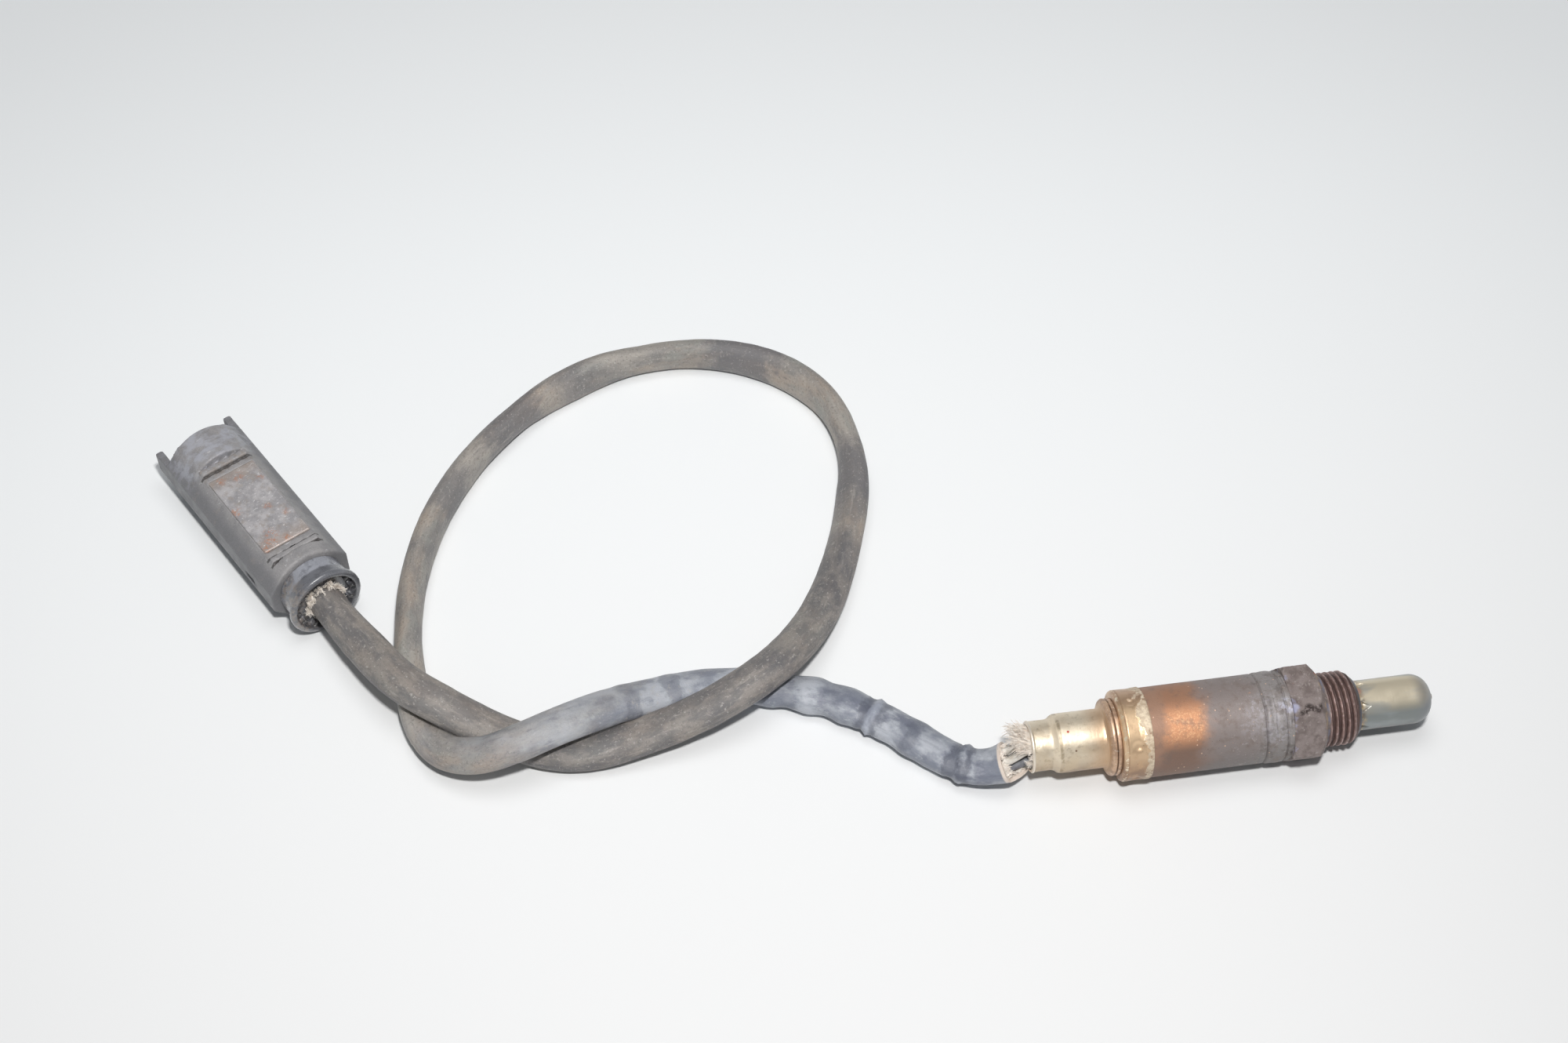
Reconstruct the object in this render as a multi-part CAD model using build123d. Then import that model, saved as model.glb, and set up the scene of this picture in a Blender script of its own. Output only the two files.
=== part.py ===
from build123d import *
import math
import os

# Heated four-wire oxygen sensor with its lead and plug connector, in millimetres.
# The sensor's axis is X. The origin is on that axis, in the plane of the hexagon's
# front face, which seats on the exhaust boss. +X points to the probe's tip and +Z up.

# ---- driving dimensions: threaded shell -------------------------------------------
THREAD_R = 9.0              # M18 x 1.5, plain major diameter
THREAD_END = 7.0            # the thread's lead-in chamfer begins
SHELL_FRONT = 9.5
NOSE_R = 6.95               # front edge of the shell, rolled over the tube's flange
HEX_ACROSS_FLATS = 22.0
HEX_LENGTH = 8.3
HEX_CHAMFER_R = 10.3        # circle that the front chamfer runs down to
COLLAR_R = 10.1             # spigot behind the hexagon, inside the outer sleeve
COLLAR_LENGTH = 7.0
BORE_REAR_R = 8.2
BORE_SEAT_R = 6.6
BORE_FRONT_R = 4.7
SEAT_X = 2.0                # inner shoulder that carries the ceramic's collar
FLANGE_POCKET_X = 7.6
FLANGE_POCKET_R = 6.45

# ---- driving dimensions: probe ----------------------------------------------------
TUBE_R = 6.0
TUBE_WALL = 0.5
TUBE_TIP_X = 28.5
TUBE_END_FILLET = 4.6
LOUVRES = 6
LOUVRE_X = 10.3
LOUVRE_LENGTH = 2.2
LOUVRE_WIDTH = 2.4
LOUVRE_FLAP = 0.25          # thickness of the flap that is pressed in at each louvre
LOUVRE_TILT = 16.0          # degrees that the flap is bent inwards
FIRST_LOUVRE_DEG = 7.0
TIP_HOLE_R = 1.3            # hole in the dome, which the inner tube's nub stands in
INNER_TUBE_R = 4.45
INNER_TUBE_TIP_X = 25.6
INNER_TUBE_HOLE_R = 0.75
NUB_R = 1.2
NUB_TIP_X = 29.2
ELEMENT_BODY_R = 3.9
ELEMENT_COLLAR_R = 6.5
ELEMENT_TIP_R = 2.7
ELEMENT_TIP_X = 23.4
ELEMENT_REAR_X = -16.0
ELEMENT_BORE_R = 1.75
HEATER_R = 1.6
CLEAR = 0.05                # radial clearance between pieces that nest

# ---- driving dimensions: casing ---------------------------------------------------
SLEEVE_R = 10.75
SLEEVE_WALL = 0.6
SLEEVE_NECK_R = 10.4
SLEEVE_REAR_X = -48.6
SLEEVE_FLARE_X = -13.0
SLEEVE_FLARE_R = 10.98
RING_R = 11.0
RING_WAIST_R = 10.85
RING_REAR_X = -49.4
RING_FRONT_X = -42.6
RING_DIMPLES = 6
DIMPLE_X = -46.2
FIRST_DIMPLE_DEG = 19.0
DIMPLE_R = 0.9
WASHER_R = 9.3
WASHER_REAR_X = -50.6
OUTLET_RIM_X = -70.3
OUTLET_SMALL_R = 6.05
OUTLET_STEP_X = (-65.2, -63.8)
OUTLET_LARGE_R = 7.1
OUTLET_BEAD_X = -52.0
OUTLET_WALL = 0.6
OUTLET_SPIGOT_X = -46.6
OUTLET_SPIGOT_R = 7.5

# ---- driving dimensions: wires and contacts ----------------------------------------
WIRES = 4
WIRE_R = 0.95
WIRE_PITCH_R = 3.3          # circle on which the wires leave the grommet
WIRE_MOUTH_R = 2.0          # circle on which they enter the lead's sleeve
FIRST_WIRE_DEG = 45.0
HOLDER_REAR_X = -44.6
HOLDER_FRONT_X = -20.0
HOLDER_R = 10.05
CLIP_REAR_X = -46.0
CLIP_FRONT_X = -19.0
CLIP_WIDTH = 1.8
CLIP_THICKNESS = 0.5

# ---- driving dimensions: lead ------------------------------------------------------
LEAD_DIAMETER = 8.4
SURFACE_Z = -HEX_ACROSS_FLATS / 2
# Route of the lead, from the sensor's outlet to the connector: it drops to the surface,
# runs under the loop, is tied in one loose overhand knot and ends in the connector.
LEAD_ROUTE = [
    (-75.5, -1.0, -2.9), (-80.5, -0.6, -5.5), (-87.0, 3.0, -6.8), (-95.0, 11.0, -6.8),
    (-104.0, 19.4, -6.8), (-116.0, 27.0, -6.8), (-130.0, 31.8, -6.8), (-144.0, 33.8, -6.2),
    (-157.0, 30.8, -3.6), (-169.0, 26.4, 0.2), (-180.0, 21.6, 2.2), (-190.0, 18.0, 2.2),
    (-199.5, 17.8, -1.2), (-207.8, 22.4, -5.0), (-213.0, 31.5, -6.7), (-215.0, 44.0, -6.8),
    (-215.2, 60.0, -6.8), (-212.8, 78.0, -6.8), (-206.0, 98.0, -6.8), (-194.0, 117.0, -6.8),
    (-177.0, 133.0, -6.8), (-156.0, 143.6, -6.8), (-133.0, 145.4, -6.8), (-112.0, 137.6, -6.8),
    (-98.5, 122.5, -6.8), (-94.8, 103.0, -6.8), (-98.2, 84.0, -6.8), (-104.3, 67.0, -6.4),
    (-111.0, 52.0, -4.4), (-118.6, 40.0, -0.6), (-126.4, 31.4, 2.2), (-135.4, 25.6, 2.2),
    (-147.0, 22.2, -1.4), (-160.0, 20.2, -4.6), (-173.0, 18.6, -6.7), (-184.0, 20.8, -6.8),
    (-194.0, 25.4, -4.8), (-203.0, 29.8, -0.6), (-211.0, 34.6, 2.2), (-217.5, 40.8, 2.2),
    (-223.4, 50.4, 0.8), (-229.7, 60.9, -0.6), (-235.2, 70.6, -0.6),
]

# ---- driving dimensions: connector -------------------------------------------------
# The connector has its own frame: +X runs from its rear flange to its mouth, in line
# with the lead's last run, which lies level.
PLUG_BODY_R = 10.4
PLUG_BODY_REAR = 5.4        # distances along the connector, from the lead's end face
PLUG_BODY_FRONT = 58.9
PLUG_ARM_TIP = 65.5
PLUG_RAIL_HALF_WIDTH = 11.0
PLUG_RAIL_THICKNESS = 2.0
PLUG_RAIL_HEIGHT = 6.4
PLUG_FLAT_HEIGHT = 8.2      # flat on top, above the axis
PLUG_FLAT_REAR = 9.4
PLUG_FLAT_FRONT = 48.0
PLUG_RIDGE_HEIGHT = 0.8
PLUG_SHOULDER = 6.6         # half width of the flat, where the sloping shoulders begin
PLUG_GROOVE_WIDTH = 0.6
PLUG_GROOVE_DEPTH = 0.6
PLUG_MOUTH_R = 8.7
PLUG_MOUTH_STEP = 49.4      # the mouth narrows here, under the flat
PLUG_MOUTH_INNER_R = 6.9
PLUG_MOUTH_FLOOR = 41.0
PLUG_REAR_BORE_R = 7.9
PLUG_REAR_BORE_FRONT = 13.6
PLUG_MAIN_BORE_R = 6.7
PLUG_WALL_REAR = 37.6       # rear face of the wall that holds the terminals
PLATE_REAR = 14.2
PLATE_LENGTH = 28.8
PLATE_WIDTH = 12.9
PLATE_THICKNESS = 1.0
PLATE_RECESS = 0.7
CAP_FLANGE_R = 9.9
CAP_FLANGE_THICKNESS = 1.9
CAP_BODY_R = 8.75
CAP_REAR = -2.5             # the flange's rear face, behind the lead's end face
CAP_RECESS_R = 8.3
CAP_RIBS = 12
CAP_RIB_THICKNESS = 0.8
CAP_RIB_INNER_R = 6.9
CAP_SPIGOT_FRONT = 7.4
SEAL_FRONT = 18.0
SEAL_LIPS = 3
PIN_R = 0.8
PIN_BARREL_R = 1.2
PIN_PITCH_R = 3.9
PIN_REAR = 12.0
PIN_SHOULDER = 42.0
PIN_TIP = 50.0


def revolved(points):
    """A solid of revolution about X, from (x, radius) points of its closed outline."""
    outline = make_face(Polyline([(x, r) for x, r in points], close=True))
    return revolve(outline, Axis.X, 360)


def rod(x0, x1, radius):
    """A round bar along X."""
    return Pos(x0, 0, 0) * extrude(Plane.YZ * Circle(radius), x1 - x0)


def ring(x0, x1, inner, outer):
    """A plain ring about X."""
    return rod(x0, x1, outer) - rod(x0 - 1, x1 + 1, inner)


def around(count, first_deg=0.0):
    """Angles of a pattern about X, in degrees from +Y towards +Z."""
    return [first_deg + 360.0 * i / count for i in range(count)]


def on_circle(radius, degrees):
    """The (y, z) place at an angle on a circle about X."""
    a = math.radians(degrees)
    return radius * math.cos(a), radius * math.sin(a)


# ---- threaded shell ----------------------------------------------------------------
def hex_shell():
    hexagon = extrude(
        Plane.YZ * RegularPolygon(HEX_ACROSS_FLATS / 2, 6, major_radius=False, rotation=0),
        -HEX_LENGTH,
    )
    corner_r = HEX_ACROSS_FLATS / math.sqrt(3)
    rear, front = -HEX_LENGTH, 0.0
    turned = revolved([
        (rear, 0), (rear, corner_r - 0.9), (rear + 0.7, corner_r + 0.1),
        (front - 1.9, corner_r + 0.1), (front, HEX_CHAMFER_R), (front, 0),
    ])
    body = hexagon & turned
    body += revolved([
        (rear - COLLAR_LENGTH, 0), (rear - COLLAR_LENGTH, COLLAR_R - 0.5),
        (rear - COLLAR_LENGTH + 0.5, COLLAR_R), (rear, COLLAR_R), (rear, 0),
    ])
    body += revolved([
        (front, 0), (front, THREAD_R), (THREAD_END, THREAD_R),
        (THREAD_END + 1.3, THREAD_R - 0.75),
        (SHELL_FRONT - 0.4, NOSE_R + 0.3), (SHELL_FRONT, NOSE_R), (SHELL_FRONT, 0),
    ])
    bore = revolved([
        (rear - COLLAR_LENGTH - 1, 0), (rear - COLLAR_LENGTH - 1, BORE_REAR_R),
        (-5.0, BORE_REAR_R), (-5.0, BORE_SEAT_R), (SEAT_X, BORE_SEAT_R),
        (SEAT_X + 0.9, BORE_FRONT_R), (FLANGE_POCKET_X, BORE_FRONT_R),
        (FLANGE_POCKET_X, FLANGE_POCKET_R), (SHELL_FRONT + 1, FLANGE_POCKET_R),
        (SHELL_FRONT + 1, 0),
    ])
    return body - bore


def protection_tube():
    """Outer tube with a domed end, a seating flange and a ring of pressed-in louvres."""
    inner, dome = TUBE_R - TUBE_WALL, TUBE_END_FILLET
    rear, tip = FLANGE_POCKET_X + CLEAR, TUBE_TIP_X
    flat, wall = TUBE_R - dome, TUBE_WALL
    slope = math.sqrt(0.5)
    outer_end = ThreePointArc(
        (tip - dome, TUBE_R), (tip - dome + dome * slope, flat + dome * slope), (tip, flat))
    bend = dome - wall
    inner_end = ThreePointArc(
        (tip - wall, flat), (tip - dome + bend * slope, flat + bend * slope),
        (tip - dome, inner))
    outline = outer_end + inner_end + Polyline(
        (tip, flat), (tip, TIP_HOLE_R), (tip - wall, TIP_HOLE_R), (tip - wall, flat))
    outline += Polyline(
        (tip - dome, inner), (rear, inner), (rear, FLANGE_POCKET_R - CLEAR),
        (rear + 1.1, FLANGE_POCKET_R - CLEAR), (rear + 1.1, TUBE_R), (tip - dome, TUBE_R))
    body = revolve(make_face(outline), Axis.X, 360)
    half = LOUVRE_WIDTH / 2
    notch = make_face(Polyline(
        [(LOUVRE_X, -half), (LOUVRE_X, half), (LOUVRE_X + LOUVRE_LENGTH, 0)], close=True))
    cutter = Pos(0, 0, inner - 0.8) * extrude(notch, 3.0)
    tongue = make_face(Polyline(
        [(LOUVRE_X - 0.35, 0.25 - half), (LOUVRE_X - 0.35, half - 0.25),
         (LOUVRE_X + 0.2, half - 0.3), (LOUVRE_X + LOUVRE_LENGTH - 0.4, 0),
         (LOUVRE_X + 0.2, 0.3 - half)], close=True))
    flap = Pos(0, 0, inner - 0.05) * extrude(tongue, LOUVRE_FLAP)
    flap = flap.rotate(Axis((LOUVRE_X, 0, inner), (0, 1, 0)), LOUVRE_TILT)
    for degrees in around(LOUVRES, FIRST_LOUVRE_DEG):
        turn = Rotation(degrees - 90.0, 0, 0)
        body -= turn * cutter
        body += turn * flap
    return body


def inner_protection_tube():
    rear = FLANGE_POCKET_X + CLEAR
    wall = 0.4
    tube = revolved([
        (rear + 1.15, INNER_TUBE_R - wall), (rear + 1.15, TUBE_R - TUBE_WALL - CLEAR),
        (rear + 1.6, TUBE_R - TUBE_WALL - CLEAR), (rear + 2.4, INNER_TUBE_R),
        (INNER_TUBE_TIP_X - 1.4, INNER_TUBE_R), (INNER_TUBE_TIP_X, INNER_TUBE_R - 1.5),
        (INNER_TUBE_TIP_X, NUB_R), (NUB_TIP_X - 0.3, NUB_R), (NUB_TIP_X, NUB_R - 0.4),
        (NUB_TIP_X, 0), (INNER_TUBE_TIP_X - wall, 0),
        (INNER_TUBE_TIP_X - wall, INNER_TUBE_R - 1.7),
        (INNER_TUBE_TIP_X - 1.6, INNER_TUBE_R - wall),
    ])
    hole = extrude(Plane.XY * Circle(INNER_TUBE_HOLE_R), 8.0)
    for degrees in around(LOUVRES, FIRST_LOUVRE_DEG + 30):
        tube -= Rotation(degrees - 90.0, 0, 0) * Pos(20.5, 0, 0) * hole
    return tube


def sensing_element():
    """Closed-end zirconia thimble with a seating collar."""
    outer = revolved([
        (ELEMENT_REAR_X, 0), (ELEMENT_REAR_X, ELEMENT_BODY_R), (-3.6, ELEMENT_BODY_R),
        (-3.0, ELEMENT_COLLAR_R), (1.4, ELEMENT_COLLAR_R), (SEAT_X + 0.7, ELEMENT_BODY_R + 0.7),
        (SEAT_X + 1.6, ELEMENT_BODY_R), (ELEMENT_TIP_X - ELEMENT_TIP_R, ELEMENT_TIP_R),
        (ELEMENT_TIP_X - ELEMENT_TIP_R, 0),
    ])
    dome = Pos(ELEMENT_TIP_X - ELEMENT_TIP_R, 0, 0) * Sphere(ELEMENT_TIP_R)
    bore = rod(ELEMENT_REAR_X - 1, ELEMENT_TIP_X - 2.4, ELEMENT_BORE_R)
    return outer + dome - bore


def heater_rod():
    body = rod(-34.0, ELEMENT_TIP_X - 2.6, HEATER_R)
    return chamfer(body.edges().filter_by(GeomType.CIRCLE), 0.3)


def talc_seal():
    inner = ELEMENT_BODY_R + CLEAR
    return revolved([
        (-9.0, inner), (-9.0, BORE_REAR_R - CLEAR), (-5.0 - CLEAR, BORE_REAR_R - CLEAR),
        (-5.0 - CLEAR, BORE_SEAT_R - CLEAR), (-3.7, BORE_SEAT_R - CLEAR), (-3.7, inner),
    ])


def support_bush():
    inner = ELEMENT_BODY_R + CLEAR
    outer = BORE_REAR_R - CLEAR
    return revolved([
        (-16.2, inner + 0.4), (-16.2, outer - 0.8), (-15.4, outer), (-9.0, outer),
        (-9.0, inner), (-15.8, inner),
    ])


def retaining_ring():
    """Steel ring that presses the bush down; it is held by the outer sleeve."""
    outer = SLEEVE_R - SLEEVE_WALL - CLEAR
    return revolved([
        (-18.0, ELEMENT_BODY_R + 0.6), (-18.0, outer), (-17.2, outer),
        (-16.2, 7.2), (-16.2, ELEMENT_BODY_R + 0.6),
    ])


# ---- casing ------------------------------------------------------------------------
def protective_sleeve():
    rear, front = SLEEVE_REAR_X, -HEX_LENGTH
    inner = SLEEVE_R - SLEEVE_WALL
    neck_inner = SLEEVE_NECK_R - SLEEVE_WALL
    body = revolved([
        (rear, neck_inner), (rear, SLEEVE_NECK_R), (RING_FRONT_X - 0.9, SLEEVE_NECK_R),
        (RING_FRONT_X, SLEEVE_R), (SLEEVE_FLARE_X, SLEEVE_R),
        (SLEEVE_FLARE_X + 1.6, SLEEVE_FLARE_R), (front - 1.5, SLEEVE_FLARE_R),
        (front - 1.1, SLEEVE_R - 0.15), (front - 0.7, SLEEVE_R - 0.15),
        (front - 0.3, SLEEVE_FLARE_R), (front, SLEEVE_FLARE_R), (front, inner),
        (RING_FRONT_X + 0.2, inner), (RING_FRONT_X - 0.7, neck_inner),
    ])
    return body


def crimp_ring():
    """Band crimped round the sleeve's rear end, with a ring of punched dimples."""
    inner = SLEEVE_NECK_R
    lip = 0.75
    body = revolved([
        (RING_REAR_X, OUTLET_SPIGOT_R + CLEAR), (RING_REAR_X, RING_R - 0.9),
        (RING_REAR_X + 0.3, RING_R - 0.3), (RING_REAR_X + 0.9, RING_R),
        (RING_REAR_X + 1.8, RING_R), ((RING_REAR_X + RING_FRONT_X) / 2 + 0.6, RING_WAIST_R),
        (RING_FRONT_X - 0.9, RING_R - 0.05), (RING_FRONT_X - 0.4, RING_R),
        (RING_FRONT_X - 0.9, inner), (RING_REAR_X + lip, inner),
        (RING_REAR_X + lip, OUTLET_SPIGOT_R + CLEAR),
    ])
    dimple = Pos(DIMPLE_X, 0, RING_R + DIMPLE_R * 0.62) * Sphere(DIMPLE_R)
    for degrees in around(RING_DIMPLES, FIRST_DIMPLE_DEG):
        body -= Rotation(degrees - 90.0, 0, 0) * dimple
    return body


def clamp_washer():
    body = ring(WASHER_REAR_X, RING_REAR_X, OUTLET_SPIGOT_R + CLEAR, WASHER_R)
    rims = body.edges().filter_by(GeomType.CIRCLE).sort_by(SortBy.RADIUS)[-2:]
    return chamfer(rims, 0.2)


def outlet_sleeve():
    """Drawn brass sleeve: small mouth with a curled rim, step, bead and spigot."""
    step0, step1 = OUTLET_STEP_X
    wall = OUTLET_WALL
    bead_r = WASHER_R
    return revolved([
        (OUTLET_RIM_X, OUTLET_SMALL_R - wall), (OUTLET_RIM_X, OUTLET_SMALL_R + 0.05),
        (OUTLET_RIM_X + 0.35, OUTLET_SMALL_R + 0.22), (OUTLET_RIM_X + 0.8, OUTLET_SMALL_R),
        (step0, OUTLET_SMALL_R), (step0 + 0.5, OUTLET_SMALL_R + 0.2),
        (step1 - 0.5, OUTLET_LARGE_R - 0.15), (step1, OUTLET_LARGE_R),
        (OUTLET_BEAD_X - 0.5, OUTLET_LARGE_R), (OUTLET_BEAD_X, OUTLET_LARGE_R + 0.35),
        (OUTLET_BEAD_X + 0.1, bead_r - 0.45), (OUTLET_BEAD_X + 0.4, bead_r - 0.1),
        (OUTLET_BEAD_X + 0.8, bead_r), (WASHER_REAR_X, bead_r - 0.15),
        (WASHER_REAR_X, OUTLET_SPIGOT_R), (OUTLET_SPIGOT_X, OUTLET_SPIGOT_R),
        (OUTLET_SPIGOT_X, OUTLET_SPIGOT_R - wall), (step1 + 0.3, OUTLET_LARGE_R - wall),
        (step1 - 0.3, OUTLET_LARGE_R - wall - 0.1), (step0 + 0.7, OUTLET_SMALL_R - wall + 0.2),
        (step0 + 0.2, OUTLET_SMALL_R - wall),
    ])


def wire_holes(x0, x1, pitch_r, hole_r, first_deg=FIRST_WIRE_DEG):
    holes = Part()
    for degrees in around(WIRES, first_deg):
        y, z = on_circle(pitch_r, degrees)
        holes += Pos(0, y, z) * rod(x0, x1, hole_r)
    return holes


def cable_grommet():
    step0, step1 = OUTLET_STEP_X
    small = OUTLET_SMALL_R - OUTLET_WALL - CLEAR
    large = OUTLET_LARGE_R - OUTLET_WALL - CLEAR
    body = revolved([
        (OUTLET_RIM_X + 1.6, 0), (OUTLET_RIM_X + 1.6, small - 0.5),
        (OUTLET_RIM_X + 2.1, small), (step0 + 0.3, small), (step1 + 0.9, large - 0.15),
        (step1 + 1.4, large), (OUTLET_SPIGOT_X, large), (OUTLET_SPIGOT_X, 0),
    ])
    return body - wire_holes(-75, -45, WIRE_PITCH_R, WIRE_R + CLEAR)


def disc_spring():
    inner, outer = 5.6, SLEEVE_NECK_R - SLEEVE_WALL - CLEAR
    return revolved([
        (-46.4, inner), (-45.4, outer), (HOLDER_REAR_X, outer), (-45.6, inner),
    ])


def contact_holder():
    body = rod(HOLDER_REAR_X, HOLDER_FRONT_X, HOLDER_R)
    body = chamfer(body.edges().filter_by(GeomType.CIRCLE), 0.8)
    body -= rod(HOLDER_REAR_X - 1, HOLDER_REAR_X + 3.0, HOLDER_R + 1) - rod(
        HOLDER_REAR_X - 2, HOLDER_REAR_X + 4, SLEEVE_NECK_R - SLEEVE_WALL - CLEAR)
    body -= rod(HOLDER_REAR_X - 1, HOLDER_FRONT_X + 1, HEATER_R + CLEAR)
    body -= rod(HOLDER_FRONT_X - 3.5, HOLDER_FRONT_X + 1, 5.6)
    slot = Pos(0, 0, WIRE_PITCH_R) * Box(60, CLIP_WIDTH + 0.2, CLIP_THICKNESS + 0.2)
    for degrees in around(WIRES, FIRST_WIRE_DEG):
        body -= Pos(-32, 0, 0) * Rotation(degrees - 90.0, 0, 0) * slot
    return body


def contact_clip(degrees):
    """Stamped strip that joins a wire to the element or the heater, with a sprung end."""
    length = CLIP_FRONT_X - CLIP_REAR_X
    middle = (CLIP_FRONT_X + CLIP_REAR_X) / 2
    strip = Pos(middle, 0, WIRE_PITCH_R) * Box(length, CLIP_WIDTH, CLIP_THICKNESS)
    tab = Pos(CLIP_FRONT_X - 0.2, 0, WIRE_PITCH_R + 0.35) * Box(0.4, CLIP_WIDTH, 1.2)
    return Rotation(degrees - 90.0, 0, 0) * (strip + tab)


# ---- wires at the outlet ------------------------------------------------------------
def lead_start():
    return Vector(*LEAD_ROUTE[0])


def lead_direction():
    return (Vector(*LEAD_ROUTE[1]) - lead_start()).normalized()


def mouth_place(degrees):
    """Where a wire enters the lead, on a circle in the plane of the lead's first face."""
    direction = lead_direction()
    side = direction.cross(Vector(0, 0, 1)).normalized()
    rise = side.cross(direction)
    y, z = on_circle(WIRE_MOUTH_R, degrees)
    return lead_start() + side * y + rise * z


def outlet_wire(degrees):
    y, z = on_circle(WIRE_PITCH_R, degrees)
    end = mouth_place(degrees)
    path = FilletPolyline(
        [
            Vector(CLIP_REAR_X, y, z),
            Vector(OUTLET_RIM_X - 0.6, y, z),
            end - lead_direction() * 1.5,
            end,
        ],
        radius=[1.3, 1.1],
    )
    return sweep(Plane(origin=path @ 0, z_dir=path % 0) * Circle(WIRE_R), path=path)


def outlet_braid():
    """Frayed end of the glass-fibre braid, spread where it comes out of the outlet."""
    inner_tube = OUTLET_SMALL_R - OUTLET_WALL
    return revolved([
        (OUTLET_RIM_X + 1.5, inner_tube - 0.75), (OUTLET_RIM_X + 1.5, inner_tube - CLEAR),
        (OUTLET_RIM_X - 0.1, inner_tube - CLEAR), (OUTLET_RIM_X - 1.6, inner_tube + 0.45),
        (OUTLET_RIM_X - 2.8, inner_tube + 0.6), (OUTLET_RIM_X - 2.8, inner_tube),
        (OUTLET_RIM_X - 1.5, inner_tube - 0.3), (OUTLET_RIM_X, inner_tube - 0.75),
    ])


# ---- lead ---------------------------------------------------------------------------
def corner_radii(points):
    """Each arc is as large as its two runs allow."""
    radii = []
    for before, here, after in zip(points, points[1:], points[2:]):
        first, second = here - before, after - here
        half_turn = math.radians(first.get_angle(second)) / 2
        radii.append(0.45 * min(first.length, second.length) / math.tan(half_turn))
    return radii


def cable_sleeve():
    points = [Vector(*p) for p in LEAD_ROUTE]
    radii = corner_radii(points)
    path = FilletPolyline(points, radius=radii)
    print("lead corner radii:", " ".join(f"{r:.0f}" for r in radii))
    section = Plane(origin=path @ 0, z_dir=path % 0) * Circle(LEAD_DIAMETER / 2)
    tube = sweep(section, path=path)
    expected = math.pi * LEAD_DIAMETER ** 2 / 4 * path.length
    print(f"lead length {path.length:.1f}, volume {tube.volume:.0f}, expected {expected:.0f}")
    return tube


# ---- connector, in its own frame ------------------------------------------------------
def plug_place():
    """The connector's frame: its origin is the lead's end face."""
    before, end = LEAD_ROUTE[-2:]
    azimuth = math.degrees(math.atan2(end[1] - before[1], end[0] - before[0]))
    return Pos(*end) * Rotation(0, 0, azimuth)


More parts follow.
